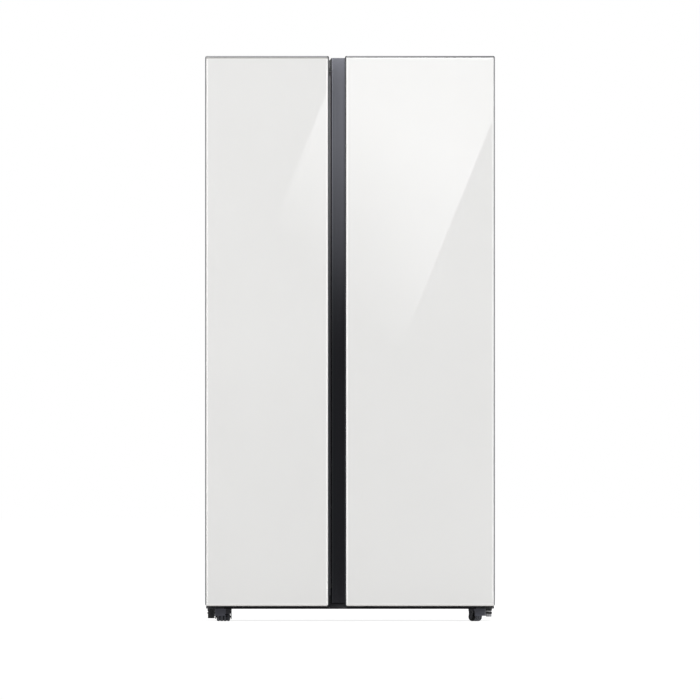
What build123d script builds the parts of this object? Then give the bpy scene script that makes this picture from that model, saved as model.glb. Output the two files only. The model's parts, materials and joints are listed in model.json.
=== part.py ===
"""Side by side refrigerator with two glass fronted doors and a recessed grip channel between them.

Millimetres. X runs to the viewer's right, Y runs from the front to the back, Z runs up from the floor.
The origin is on the floor, under the middle of the outer box.
"""
import os
from math import sqrt
from build123d import *

os.makedirs("parts", exist_ok=True)

# Overall size
overall_width = 912
overall_height = 1780
overall_depth = 716
front_y = -overall_depth / 2
back_y = overall_depth / 2

# Clearances
slip = 0.3
seat = 0.2

# Doors: a trim frame with a glass panel in front of a foamed steel pan
left_door_width = 390
grip_channel = 50
right_door_width = overall_width - left_door_width - grip_channel
door_bottom = 49
door_thickness = 90
face_depth = 16
trim_width = 3
trim_top = 4.5
trim_corner = 5
trim_web = 2
glass_thickness = 5
glass_bevel_width = 5
glass_bevel_depth = 1.7
pan_sheet = 1.2
door_liner_sheet = 2
body_lift = 3

# Door seal
gasket_width = 12
gasket_depth = 13.7
gasket_hinge_inset = 25
gasket_sill = 12
gasket_mullion_gap = 14
cabinet_front_y = front_y + door_thickness + gasket_depth + slip

# Cabinet
door_overhang = 2
cabinet_width = overall_width - 2 * door_overhang
cabinet_bottom = 40
door_rise = 36
cabinet_top = overall_height - door_rise
gland_stand = 4
cabinet_back_y = back_y - gland_stand
wrap_sheet = 1.5
wrap_corner = 8
liner_sheet = 2
freezer_wall = 58
fridge_wall = 48
top_wall = 59
back_wall = 64
floor_wall = 64
mullion_width = 76
bead_count = 4
bead_width = 16
bead_height = 2
bead_chamfer = 1.5
bead_end_gap = 120
bead_side_gap = 70
front_flange_y = cabinet_front_y + wrap_sheet

# Machine room behind the lower drawers
machine_room_depth = 188
machine_room_height = 200
machine_room_wall = 40
machine_room_roof = 44
machine_front_y = cabinet_back_y - machine_room_depth
machine_top = cabinet_bottom + machine_room_height

# Grip channel between the doors
grip_floor_depth = 45
pocket_reach = 22
ledge_show = 5
door_gap = 3
ledge_draft = 5
grip_strip = 2
ledge_lift = 9
left_ledge_gap = 13
right_ledge_gap = 6
left_cap_top = 14
left_cap_bottom = 24
ledge_bottom = door_bottom + ledge_lift
left_ledge_top = cabinet_top - left_ledge_gap
right_ledge_top = overall_height - right_ledge_gap
left_strip_top = left_ledge_top - left_cap_top
left_strip_bottom = ledge_bottom + left_cap_bottom
cap_seam = 1
grip_cap_bottom = left_ledge_top + door_gap
grip_cap_slope = 7
grip_cap_shoulder = right_ledge_top - grip_cap_slope
grip_cap_depth = 24

left_outer = -overall_width / 2
right_outer = overall_width / 2
left_latch = left_outer + left_door_width
right_latch = right_outer - right_door_width
left_ledge_x = left_latch + ledge_show
right_ledge_x = left_ledge_x + door_gap
mullion_x = (left_ledge_x + right_ledge_x) / 2

# Compartments
freezer_x0 = -cabinet_width / 2 + freezer_wall
freezer_x1 = mullion_x - mullion_width / 2
fridge_x0 = mullion_x + mullion_width / 2
fridge_x1 = cabinet_width / 2 - fridge_wall
room_floor = cabinet_bottom + floor_wall
room_top = cabinet_top - top_wall
room_back_y = cabinet_back_y - back_wall
step_y = machine_front_y - machine_room_wall
step_z = machine_top + machine_room_roof

# Hinges
hinge_inset = 19
hinge_depth = 48
hinge_x = right_outer - hinge_inset
hinge_y = front_y + hinge_depth
hinge_pin = 10
hinge_nose = 12
hinge_plate = 4
hinge_pin_length = 28
bush_outer = 20
bush_length = 32
upper_plate_width = 52
upper_plate_back = 84
lower_plate = 6
lower_plate_width = 50
lower_leg = 4
lower_leg_height = 20
screw_head = 11
screw_head_height = 3
screw_shank = 6
screw_pitch = 24
screw_first = 16
screw_row_count = 3
lower_screw_rise = 13
cover_wall = 2.2
cover_side = 15.5
cover_width = 62
cover_nose = 20
cover_nose_chamfer = 12
cover_nose_outer = 7.5
cover_back = 96
cover_height = 30
body_bottom = door_bottom + body_lift
body_top = cabinet_top - body_lift

# Door liner rim and bins
rim_hinge_gap = 12
rim_latch_gap = 20
rim_end_gap = 16
rim_width = 20
rim_reach = 35
bin_reach = 80
bin_height = 110
bin_wall = 2.5
bin_corner = 14
bin_first_gap = 18
freezer_bin_count = 5
fridge_bin_count = 4

# Shelves and drawers
shelf_setback = 115
shelf_front_y = cabinet_front_y + shelf_setback
shelf_back_gap = 2
shelf_glass = 4
shelf_side_gap = 0.5
shelf_rib = 8
shelf_rib_height = 6
shelf_trim_depth = 10
shelf_trim_height = 14
shelf_trim_rise = 2
drawer_cover_z = 440
freezer_shelf_count = 5
fridge_shelf_count = 4
drawer_travel = 60
drawer_bin_gap = 4
drawer_front_y = cabinet_front_y + bin_reach + drawer_bin_gap + drawer_travel
drawer_wall = 2.5
drawer_side_gap = 12
drawer_flange = 9
drawer_flange_thickness = 4
drawer_rail = 10
drawer_rail_height = 8
drawer_corner = 12
drawer_floor_gap = 8
drawer_scoop_width = 130
drawer_scoop_depth = 18
lower_drawer_gap = 22
lower_drawer_top = step_z - lower_drawer_gap
upper_drawer_gap = 12
upper_drawer_bottom = step_z + upper_drawer_gap
upper_drawer_top_gap = 12
upper_drawer_top = drawer_cover_z - upper_drawer_top_gap
lower_drawer_back_gap = 6
upper_drawer_back_gap = 4

# Air ducts, evaporator and fans
evaporator_space = 75
evaporator_cover_y = room_back_y - evaporator_space
evaporator_cover_sheet = 4
evaporator_lift = 40
evaporator_bottom = step_z + evaporator_lift
evaporator_height = 460
evaporator_fin_count = 20
evaporator_side_gap = 18
evaporator_front_gap = 8
evaporator_tube_gap = 30
fin_sheet = 1
tube = 8
evaporator_row_count = 8
fan_outer = 110
fan_hub = 38
fan_width = 22
fan_blade_count = 5
fan_blade_angle = 32
fan_blade_sheet = 2
fan_blade_chord = 30.8
fan_shaft = 6
fan_gap = 6
grille_disc = 40
grille_slot_count = 9
grille_slot = 7
outlet_slot_count = 5
outlet_width = 34
outlet_height = 7
outlet_side_gap = 50
evaporator_fan_gap = 30
evaporator_fan_z = evaporator_bottom + evaporator_height + evaporator_fan_gap + fan_outer / 2
duct_width = 200
duct_depth = 24
duct_sheet = 3
duct_corner = 10
duct_bottom_gap = 50
duct_top_gap = 45
duct_bottom = drawer_cover_z + duct_bottom_gap
duct_top = room_top - duct_top_gap
duct_slot_count = 3
duct_slot_pitch = 60
lamp_height = 8
lamp_depth = 70
lamp_corner = 12
lamp_setback = 20
lamp_front_y = shelf_front_y + lamp_setback
lamp_width_share = 0.6

# Machine room contents
compressor_inset = 184
compressor_x = cabinet_width / 2 - compressor_inset
compressor_length = 190
compressor_width = 140
compressor_height = 150
compressor_round = 34
compressor_seam = 4
compressor_foot = 3
compressor_leg = 20
compressor_leg_height = 10
compressor_plate_corner = 12
compressor_plate_lap = 4.25
terminal_lap = 12
terminal_depth = 26
terminal_width = 50
terminal_above = 20
terminal_below = 40
condenser_inset = 74
condenser_length = 250
condenser_x0 = -cabinet_width / 2 + condenser_inset
condenser_x1 = condenser_x0 + condenser_length
condenser_depth = 120
condenser_height = 110
condenser_fin_count = 22
condenser_row_count = 3
condenser_tube_gap = 22
condenser_fan_gap = 90
condenser_fan_x = condenser_x1 + condenser_fan_gap
bracket_sheet = 3
bracket_gap = 8
bracket_foot = 22
bracket_hole_gap = 4
bracket_spoke_count = 3
bracket_spoke = 8
pan_height = 32
pan_wall = 2.5
pan_side_margin = 14
pan_end_margin = 12
pan_corner = 10
machine_cover_sheet = 1.5
machine_cover_rim = 14
machine_cover_rim_height = 1.2
machine_cover_gap = 1
vent_column_count = 14
vent_row_count = 4
vent_slot_width = 34
vent_slot_height = 6
vent_side_gap = 60
vent_bottom_gap = 70
vent_top_gap = 30
gland_width = 48
gland_height = 34
gland_corner = 5
gland_inset = 154
gland_x = -cabinet_width / 2 + gland_inset
gland_rise = 32

# Base, feet and rollers
base_sheet = 2
base_cover_front = 58
base_cover_lift = 0.6
base_lip_drop = 0.8
base_lip_depth = 6
base_cover_gap = 1
base_cover_side_gap = 2
base_tab_gap = 2
base_tab_back_gap = 1
base_cover_bottom = cabinet_bottom + base_cover_lift
base_cover_top = door_bottom - base_cover_gap
base_tab_top = ledge_bottom - base_tab_gap
base_tab_margin = 1.5
caster_inset = 46
caster_x = cabinet_width / 2 - caster_inset
caster_setback = 44
caster_y = cabinet_front_y + caster_setback
caster_slip = 0.4
left_caster_angle = 0
right_caster_angle = 55
swivel_pin = 12
swivel_rise = 24
swivel_top = cabinet_bottom + swivel_rise
swivel_bore_gap = 2
wheel_outer = 28
wheel_width = 42
wheel_t = -9
wheel_trail = 10
wheel_round = 5
wheel_groove_count = 3
wheel_groove = 3
wheel_groove_pitch = 11
wheel_axle = 6
wheel_side_gap = 1.5
fork_roof = 7
fork_front = 9
fork_back = 18
fork_arm = 3.5
fork_arm_width = 14
guard_out = 23
guard_step = 15
guard_in = 35
guard_drop = 23
left_guard_inner_drop = 16
right_guard_inner_drop = 8
left_adjuster_foot = 21
left_adjuster_length = 30
right_adjuster_foot = 17
right_adjuster_length = 25
adjuster_nut_rim = 3
adjuster_nut_height = 6
adjuster_nut_pitch = 10
adjuster_ridge = 2
adjuster_ridge_count = 6
adjuster_tip = 1
roller_setback = 60
roller_y = cabinet_back_y - roller_setback
roller_inset = 57
roller_x = cabinet_width / 2 - roller_inset
roller_outer = 40
roller_width = 22
roller_groove = 2
roller_axle = 8
roller_ear = 3
roller_ear_width = 24
roller_side_gap = 1


def facing(y):
    """Upright plane across the object at depth y, drawn as seen from the front."""
    return Plane.XZ.offset(-y)


def block(x0, x1, y0, y1, z0, z1, mode=Mode.ADD):
    """Box between two opposite corners, in either order."""
    with Locations(((x0 + x1) / 2, (y0 + y1) / 2, (z0 + z1) / 2)):
        Box(abs(x1 - x0), abs(y1 - y0), abs(z1 - z0), mode=mode)


def post(x, y, z0, z1, diameter, mode=Mode.ADD):
    """Upright round bar between two heights."""
    with Locations((x, y, (z0 + z1) / 2)):
        Cylinder(diameter / 2, z1 - z0, mode=mode)


def save(sub_part, name):
    """Write one sub-part under its node name."""
    sub_part.part.label = name
    export_step(sub_part.part, f"parts/{name}.step")


def spread(first, last, count):
    """Evenly spaced values with both ends included."""
    return [first + (last - first) * i / (count - 1) for i in range(count)]


# Outer steel wrap: both sides, the top and the front flange around the compartments
wrap_x = cabinet_width / 2
wrap_height = cabinet_top - cabinet_bottom
with BuildPart() as cabinet_wrap:
    with BuildSketch(facing(cabinet_front_y)):
        with Locations((0, (cabinet_bottom + cabinet_top) / 2)):
            Rectangle(cabinet_width, wrap_height)
        fillet(vertices().group_by(Axis.Y)[-1], wrap_corner)
    extrude(amount=cabinet_front_y - cabinet_back_y)
    with BuildSketch(facing(front_flange_y)):
        with Locations((0, (cabinet_bottom + cabinet_top - wrap_sheet) / 2)):
            Rectangle(cabinet_width - 2 * wrap_sheet, wrap_height - wrap_sheet)
        fillet(vertices().group_by(Axis.Y)[-1], wrap_corner - wrap_sheet)
    extrude(amount=front_flange_y - cabinet_back_y, mode=Mode.SUBTRACT)
    block(freezer_x0, fridge_x1, cabinet_front_y, front_flange_y, cabinet_bottom, room_top, Mode.SUBTRACT)
    block(-wrap_x, wrap_x, cabinet_front_y, front_flange_y, cabinet_bottom, room_floor, Mode.SUBTRACT)
save(cabinet_wrap, "cabinet_wrap")

# Front plate of the wall between the two compartments
with BuildPart() as mullion_plate:
    block(freezer_x1, fridge_x0, cabinet_front_y, front_flange_y, room_floor, room_top)
save(mullion_plate, "mullion_plate")

# Rear steel panel above the machine room, stiffened by raised beads
inner_x = wrap_x - wrap_sheet
with BuildPart() as back_panel:
    with BuildSketch(facing(cabinet_back_y - wrap_sheet)):
        with Locations((0, (machine_top + cabinet_top - wrap_sheet) / 2)):
            Rectangle(2 * inner_x, cabinet_top - wrap_sheet - machine_top)
        fillet(vertices().group_by(Axis.Y)[-1], wrap_corner - wrap_sheet)
    extrude(amount=-wrap_sheet)
    with BuildSketch(facing(cabinet_back_y)):
        for z in spread(machine_top + bead_end_gap, cabinet_top - bead_end_gap, bead_count):
            with Locations((0, z)):
                SlotOverall(2 * (inner_x - bead_side_gap), bead_width)
    extrude(amount=-bead_height)
    chamfer(back_panel.edges().group_by(Axis.Y)[-1], bead_chamfer)
save(back_panel, "back_panel")

# Base tray: floor plate with a front rail that carries the lower hinges
base_top = cabinet_bottom + base_sheet
with BuildPart() as base_tray:
    block(-inner_x, inner_x, front_flange_y, cabinet_back_y, cabinet_bottom, base_top)
    block(-inner_x, inner_x, cabinet_front_y, front_flange_y, cabinet_bottom, room_floor)
    for side in (-1, 1):
        post(side * caster_x, caster_y, cabinet_bottom, base_top, swivel_pin + 2 * slip, Mode.SUBTRACT)
save(base_tray, "base_tray")

# Foam that fills the space between the wrap and the liners
foam_back_y = cabinet_back_y - wrap_sheet
foam_height = cabinet_top - wrap_sheet - base_top
with BuildPart() as cabinet_insulation:
    with BuildSketch(facing(front_flange_y)):
        with Locations((0, base_top + foam_height / 2)):
            Rectangle(2 * inner_x, foam_height)
        fillet(vertices().group_by(Axis.Y)[-1], wrap_corner - wrap_sheet)
    extrude(amount=front_flange_y - foam_back_y)
    block(-inner_x, inner_x, machine_front_y, foam_back_y, base_top, machine_top, Mode.SUBTRACT)
    for x0, x1 in ((freezer_x0, freezer_x1), (fridge_x0, fridge_x1)):
        room = (x0 - liner_sheet, x1 + liner_sheet)
        block(*room, front_flange_y, step_y + liner_sheet, room_floor - liner_sheet,
              room_top + liner_sheet, Mode.SUBTRACT)
        block(*room, step_y, room_back_y + liner_sheet, step_z - liner_sheet,
              room_top + liner_sheet, Mode.SUBTRACT)
    for side in (-1, 1):
        post(side * caster_x, caster_y, base_top, swivel_top + slip, swivel_pin + 2 * swivel_bore_gap,
             Mode.SUBTRACT)
save(cabinet_insulation, "cabinet_insulation")

# Shelf heights: the lowest pane also covers the drawers
freezer_pitch = (room_top - drawer_cover_z) / freezer_shelf_count
fridge_pitch = (room_top - drawer_cover_z) / fridge_shelf_count
freezer_shelf_z = [drawer_cover_z + i * freezer_pitch for i in range(freezer_shelf_count)]
fridge_shelf_z = [drawer_cover_z + i * fridge_pitch for i in range(fridge_shelf_count)]
freezer_shelf_back = evaporator_cover_y - shelf_back_gap
fridge_shelf_back = room_back_y - duct_depth - shelf_back_gap
rooms = [
    ("freezer", freezer_x0, freezer_x1, freezer_shelf_z, freezer_shelf_back),
    ("fridge", fridge_x0, fridge_x1, fridge_shelf_z, fridge_shelf_back),
]
drawer_tops = (lower_drawer_top, upper_drawer_top)
lower_drawer_back = step_y - lower_drawer_back_gap

# Moulded liners with shelf ribs and drawer rails on their side walls
for room_name, x0, x1, shelf_z, shelf_back in rooms:
    with BuildPart() as liner:
        block(x0 - liner_sheet, x1 + liner_sheet, front_flange_y, step_y + liner_sheet,
              room_floor - liner_sheet, room_top + liner_sheet)
        block(x0 - liner_sheet, x1 + liner_sheet, step_y, room_back_y + liner_sheet,
              step_z - liner_sheet, room_top + liner_sheet)
        block(x0, x1, front_flange_y, step_y, room_floor, room_top, Mode.SUBTRACT)
        block(x0, x1, step_y - liner_sheet, room_back_y, step_z, room_top, Mode.SUBTRACT)
        for wall_x, inward in ((x0, 1), (x1, -1)):
            for z in shelf_z:
                block(wall_x, wall_x + inward * shelf_rib, shelf_front_y, shelf_back,
                      z - shelf_rib_height, z)
            for top, rail_back in zip(drawer_tops, (lower_drawer_back, shelf_back)):
                rail_top = top - drawer_flange_thickness - slip
                block(wall_x, wall_x + inward * drawer_rail, drawer_front_y, rail_back,
                      rail_top - drawer_rail_height, rail_top)
    save(liner, f"{room_name}_liner")

# Glass shelves with a bar along the front edge and a raised stop along the rear edge
with BuildPart() as shelf_trims:
    for room_name, x0, x1, shelf_z, shelf_back in rooms:
        for z in shelf_z:
            bar_bottom = z + shelf_glass - shelf_trim_height + shelf_trim_rise
            block(x0 + shelf_side_gap, x1 - shelf_side_gap, shelf_front_y - shelf_trim_depth, shelf_front_y,
                  bar_bottom, bar_bottom + shelf_trim_height)
            block(x0 + shelf_side_gap, x1 - shelf_side_gap, shelf_back - shelf_trim_depth, shelf_back,
                  z + shelf_glass, z + shelf_trim_height)
save(shelf_trims, "shelf_trims")

with BuildPart() as glass_shelves:
    for room_name, x0, x1, shelf_z, shelf_back in rooms:
        for z in shelf_z:
            block(x0 + shelf_side_gap, x1 - shelf_side_gap, shelf_front_y, shelf_back, z, z + shelf_glass)
save(glass_shelves, "glass_shelves")

# Drawers: moulded trays with a runner flange on each side and a finger scoop in the front wall
drawers = []
for room_name, x0, x1, shelf_z, shelf_back in rooms:
    bottom = room_floor + drawer_floor_gap
    drawers.append((f"{room_name}_drawer_lower", x0, x1, bottom, lower_drawer_top, lower_drawer_back))
    upper_back = shelf_back - upper_drawer_back_gap
    drawers.append((f"{room_name}_drawer_upper", x0, x1, upper_drawer_bottom, upper_drawer_top, upper_back))
for drawer_name, x0, x1, bottom, top, back in drawers:
    tray_x0 = x0 + drawer_side_gap
    tray_x1 = x1 - drawer_side_gap
    middle_x = (x0 + x1) / 2
    with BuildPart() as drawer:
        block(tray_x0, tray_x1, drawer_front_y, back, bottom, top)
        fillet(drawer.edges().filter_by(Axis.Z), drawer_corner)
        fillet(drawer.edges().group_by(Axis.Z)[0], drawer_corner / 2)
        offset(amount=-drawer_wall, openings=drawer.faces().sort_by(Axis.Z)[-1])
        for wall_x, outward in ((tray_x0, -1), (tray_x1, 1)):
            block(wall_x - outward * drawer_wall, wall_x + outward * drawer_flange,
                  drawer_front_y + drawer_corner, back - drawer_corner, top - drawer_flange_thickness, top)
        with BuildSketch(facing(drawer_front_y)):
            with Locations((middle_x, top)):
                SlotOverall(drawer_scoop_width, 2 * drawer_scoop_depth)
        extrude(amount=-2 * drawer_wall, mode=Mode.SUBTRACT)
    save(drawer, drawer_name)

# Evaporator: finned tube block behind its cover in the freezer
freezer_middle = (freezer_x0 + freezer_x1) / 2
evaporator_x0 = freezer_x0 + evaporator_side_gap
evaporator_x1 = freezer_x1 - evaporator_side_gap
evaporator_y0 = evaporator_cover_y + evaporator_cover_sheet + evaporator_front_gap
evaporator_y1 = room_back_y - seat
tube_z = spread(evaporator_bottom + evaporator_tube_gap,
                evaporator_bottom + evaporator_height - evaporator_tube_gap, evaporator_row_count)
with BuildPart() as evaporator:
    for x in spread(evaporator_x0, evaporator_x1 - fin_sheet, evaporator_fin_count):
        block(x, x + fin_sheet, evaporator_y0, evaporator_y1, evaporator_bottom,
              evaporator_bottom + evaporator_height)
    for z in tube_z:
        with Locations((freezer_middle, (evaporator_y0 + evaporator_y1) / 2, z)):
            Cylinder(tube / 2, evaporator_x1 - evaporator_x0, rotation=(0, 90, 0))
save(evaporator, "evaporator")

# Evaporator cover: rear wall of the freezer with the fan grille, air outlets and the fan's spindle
cover_back_y = evaporator_cover_y + evaporator_cover_sheet
with BuildPart() as evaporator_cover:
    block(freezer_x0 + seat, freezer_x1 - seat, evaporator_cover_y, cover_back_y,
          step_z + seat, room_top - seat)
    with BuildSketch(facing(evaporator_cover_y)):
        for offset_x in spread(-fan_outer / 2 + grille_slot, fan_outer / 2 - grille_slot, grille_slot_count):
            half_height = sqrt((fan_outer / 2) ** 2 - offset_x ** 2)
            with Locations((freezer_middle + offset_x, evaporator_fan_z)):
                SlotOverall(2 * half_height, grille_slot, rotation=90)
        with Locations((freezer_middle, evaporator_fan_z)):
            Circle(grille_disc / 2, mode=Mode.SUBTRACT)
        for z in freezer_shelf_z[1:]:
            for x in spread(freezer_x0 + outlet_side_gap, freezer_x1 - outlet_side_gap, outlet_slot_count):
                if abs(z + freezer_pitch / 2 - evaporator_fan_z) > fan_outer:
                    with Locations((x, z + freezer_pitch / 2)):
                        SlotOverall(outlet_width, outlet_height)
    extrude(amount=-evaporator_cover_sheet, mode=Mode.SUBTRACT)
    with Locations((freezer_middle, cover_back_y + (fan_gap + fan_width) / 2, evaporator_fan_z)):
        Cylinder(fan_shaft / 2, fan_gap + fan_width, rotation=(90, 0, 0))
save(evaporator_cover, "evaporator_cover")

# Fan rotors, one behind the evaporator cover and one on the bracket in the machine room
machine_middle_y = machine_front_y + machine_room_depth / 2
condenser_fan_z = base_top + machine_room_height / 2
fans = [
    ("evaporator_fan", Plane((freezer_middle, cover_back_y + fan_gap, evaporator_fan_z), z_dir=(0, 1, 0))),
    ("condenser_fan", Plane((condenser_fan_x + bracket_sheet + fan_gap, machine_middle_y, condenser_fan_z),
                            z_dir=(1, 0, 0))),
]
for fan_name, fan_plane in fans:
    with BuildPart(fan_plane) as fan:
        blade_length = (fan_outer - fan_hub) / 2 + fan_blade_sheet
        blade_middle = (fan_outer + fan_hub) / 4 - fan_blade_sheet
        with Locations((0, 0, fan_width / 2)):
            with PolarLocations(blade_middle, fan_blade_count):
                Box(blade_length, fan_blade_chord, fan_blade_sheet, rotation=(fan_blade_angle, 0, 0))
        with Locations((0, 0, fan_width / 2)):
            Cylinder(fan_hub / 2, fan_width)
            Cylinder(fan_shaft / 2 + slip, fan_width, mode=Mode.SUBTRACT)
    save(fan, fan_name)

# Air duct on the rear wall of the fridge compartment
fridge_middle = (fridge_x0 + fridge_x1) / 2
duct_front_y = room_back_y - duct_depth
duct_slot_x = spread(fridge_middle - duct_slot_pitch, fridge_middle + duct_slot_pitch, duct_slot_count)
with BuildPart() as fridge_air_duct:
    with BuildSketch(facing(room_back_y - seat)):
        with Locations((fridge_middle, (duct_bottom + duct_top) / 2)):
            RectangleRounded(duct_width, duct_top - duct_bottom, duct_corner)
    extrude(amount=duct_depth - seat)
    offset(amount=-duct_sheet, openings=fridge_air_duct.faces().sort_by(Axis.Y)[-1])
    with BuildSketch(facing(duct_front_y)):
        for z in fridge_shelf_z:
            for x in duct_slot_x:
                for rise in (-1, 1):
                    with Locations((x, z + fridge_pitch / 2 + rise * 2 * outlet_height)):
                        SlotOverall(outlet_width, outlet_height)
    extrude(amount=-2 * duct_sheet, mode=Mode.SUBTRACT)
save(fridge_air_duct, "fridge_air_duct")

# Light covers under both ceilings
with BuildPart() as compartment_lamps:
    for x0, x1 in ((freezer_x0, freezer_x1), (fridge_x0, fridge_x1)):
        with BuildSketch(Plane.XY.offset(room_top - seat)):
            with Locations(((x0 + x1) / 2, lamp_front_y + lamp_depth / 2)):
                RectangleRounded((x1 - x0) * lamp_width_share, lamp_depth, lamp_corner)
        extrude(amount=-lamp_height)
    chamfer(compartment_lamps.edges().group_by(Axis.Z)[0], lamp_height / 3)
save(compartment_lamps, "compartment_lamps")

# Compressor: welded pot on a plate with four short legs
compressor_bottom = base_top + compressor_leg_height
with BuildPart() as compressor:
    with BuildSketch(Plane.XY.offset(compressor_bottom + compressor_foot)):
        with Locations((compressor_x, machine_middle_y)):
            Ellipse(compressor_length / 2, compressor_width / 2)
    extrude(amount=compressor_height)
    fillet(compressor.edges(), compressor_round)
    seam_z = compressor_bottom + compressor_height / 2
    with BuildSketch(Plane.XY.offset(seam_z)):
        with Locations((compressor_x, machine_middle_y)):
            Ellipse(compressor_length / 2 + compressor_seam, compressor_width / 2 + compressor_seam)
    extrude(amount=compressor_seam)
    with BuildSketch(Plane.XY.offset(compressor_bottom)):
        with Locations((compressor_x, machine_middle_y)):
            RectangleRounded(compressor_length, compressor_width, compressor_plate_corner)
    extrude(amount=compressor_foot + compressor_plate_lap)
    for dx in (-1, 1):
        for dy in (-1, 1):
            post(compressor_x + dx * (compressor_length / 2 - compressor_leg),
                 machine_middle_y + dy * (compressor_width / 2 - compressor_leg),
                 base_top, compressor_bottom, compressor_leg)
    terminal_x = compressor_x + compressor_length / 2
    block(terminal_x - terminal_lap, terminal_x + terminal_depth, machine_middle_y - terminal_width / 2,
          machine_middle_y + terminal_width / 2, seam_z - terminal_below, seam_z + terminal_above)
save(compressor, "compressor")

# Drain pan under the condenser
pan_y0 = machine_middle_y - condenser_depth / 2 - pan_end_margin
pan_y1 = machine_middle_y + condenser_depth / 2 + pan_end_margin
with BuildPart() as drain_pan:
    block(condenser_x0 - pan_side_margin, condenser_x1 + pan_side_margin, pan_y0, pan_y1,
          base_top, base_top + pan_height)
    fillet(drain_pan.edges().filter_by(Axis.Z), pan_corner)
    offset(amount=-pan_wall, openings=drain_pan.faces().sort_by(Axis.Z)[-1])
save(drain_pan, "drain_pan")

# Condenser: finned tube block that stands in the drain pan
condenser_bottom = base_top + pan_wall
condenser_top = condenser_bottom + condenser_height
condenser_z = spread(condenser_bottom + condenser_tube_gap, condenser_top - condenser_tube_gap,
                     condenser_row_count)
condenser_middle_x = (condenser_x0 + condenser_x1) / 2
with BuildPart() as condenser:
    for x in spread(condenser_x0, condenser_x1 - fin_sheet, condenser_fin_count):
        block(x, x + fin_sheet, machine_middle_y - condenser_depth / 2,
              machine_middle_y + condenser_depth / 2, condenser_bottom, condenser_top)
    for z in condenser_z:
        for dy in (-1, 1):
            with Locations((condenser_middle_x, machine_middle_y + dy * condenser_depth / 4, z)):
                Cylinder(tube / 2, condenser_x1 - condenser_x0, rotation=(0, 90, 0))
save(condenser, "condenser")

# Condenser fan bracket: upright plate with a grille, a foot and the fan's spindle
with BuildPart() as condenser_fan_bracket:
    block(condenser_fan_x, condenser_fan_x + bracket_sheet, machine_front_y + bracket_gap,
          foam_back_y - bracket_gap, base_top, machine_top - bracket_gap)
    block(condenser_fan_x, condenser_fan_x + bracket_foot, machine_front_y + bracket_gap,
          foam_back_y - bracket_gap, base_top, base_top + bracket_sheet)
    with BuildSketch(Plane.YZ.offset(condenser_fan_x)):
        with Locations((machine_middle_y, condenser_fan_z)):
            Circle(fan_outer / 2 + bracket_hole_gap)
            Circle(grille_disc / 2, mode=Mode.SUBTRACT)
            with PolarLocations(0, bracket_spoke_count):
                Rectangle(2 * fan_outer, bracket_spoke, mode=Mode.SUBTRACT)
    extrude(amount=bracket_sheet, mode=Mode.SUBTRACT)
    with Locations((condenser_fan_x + bracket_sheet + (fan_gap + fan_width) / 2, machine_middle_y,
                    condenser_fan_z)):
        Cylinder(fan_shaft / 2, fan_gap + fan_width, rotation=(0, 90, 0))
save(condenser_fan_bracket, "condenser_fan_bracket")

# Rear cover of the machine room with vent slots and a raised rim
cover_across = 2 * (inner_x - machine_cover_gap)
cover_along = machine_top - base_top - 2 * seat
with BuildPart() as machine_cover:
    block(-cover_across / 2, cover_across / 2, cabinet_back_y - machine_cover_sheet,
          cabinet_back_y, base_top + seat, machine_top - seat)
    with BuildSketch(facing(cabinet_back_y - machine_cover_sheet)):
        for x in spread(-inner_x + vent_side_gap, inner_x - vent_side_gap, vent_column_count):
            for z in spread(base_top + vent_bottom_gap, machine_top - vent_top_gap, vent_row_count):
                with Locations((x, z)):
                    SlotOverall(vent_slot_width, vent_slot_height)
    extrude(amount=-machine_cover_sheet, mode=Mode.SUBTRACT)
    with BuildSketch(facing(cabinet_back_y)):
        with Locations((0, (base_top + machine_top) / 2)):
            Rectangle(cover_across, cover_along)
            Rectangle(cover_across - 2 * machine_cover_rim, cover_along - 2 * machine_cover_rim,
                      mode=Mode.SUBTRACT)
    extrude(amount=-machine_cover_rim_height)
save(machine_cover, "machine_cover")

# Cable gland on the machine room cover
gland_z = base_top + gland_rise
with BuildPart() as mains_inlet:
    with BuildSketch(facing(cabinet_back_y)):
        with Locations((gland_x, gland_z)):
            RectangleRounded(gland_width, gland_height, gland_corner)
    extrude(amount=(cabinet_back_y - back_y) / 2)
    with BuildSketch(facing(cabinet_back_y)):
        with Locations((gland_x, gland_z)):
            Circle(gland_height / 3)
    extrude(amount=cabinet_back_y - back_y)
save(mains_inlet, "mains_inlet")

# Dark cover along the lower front edge, with a hanging lip and a tab that closes the foot of the grip channel
cover_front_y = front_y + base_cover_front
cover_half = hinge_x + hinge_nose - lower_plate_width - base_cover_side_gap
with BuildPart() as base_cover:
    block(-cover_half, cover_half, cover_front_y, cabinet_front_y, base_cover_bottom, base_cover_top)
    block(-cover_half, cover_half, cover_front_y, cover_front_y + base_lip_depth,
          cabinet_bottom - base_lip_drop, base_cover_bottom)
    block(left_latch + base_tab_margin, right_latch - base_tab_margin, cover_front_y,
          cabinet_front_y - base_tab_back_gap, base_cover_top, base_tab_top)
save(base_cover, "base_cover")

# Upper hinges: plate on the cabinet top with a pin down into the door
upper_pin_bottom = body_top - hinge_pin_length
for side, side_name in ((-1, "left"), (1, "right")):
    axis_x = side * hinge_x
    plate_x = axis_x - side * (upper_plate_width / 2 - hinge_nose)
    with BuildPart() as upper_hinge:
        with BuildSketch(Plane.XY.offset(cabinet_top)):
            with Locations((axis_x, hinge_y)):
                Circle(hinge_nose)
            with Locations((axis_x, (hinge_y + cabinet_front_y) / 2)):
                Rectangle(2 * hinge_nose, cabinet_front_y - hinge_y)
            with Locations((plate_x, cabinet_front_y + upper_plate_back / 2)):
                Rectangle(upper_plate_width, upper_plate_back)
        extrude(amount=hinge_plate)
        post(axis_x, hinge_y, upper_pin_bottom, cabinet_top + hinge_plate, hinge_pin)
        for row in range(screw_row_count):
            post(plate_x, cabinet_front_y + screw_first + row * screw_pitch, cabinet_top,
                 cabinet_top + hinge_plate, screw_shank + slip, Mode.SUBTRACT)
    save(upper_hinge, f"{side_name}_upper_hinge")

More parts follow.
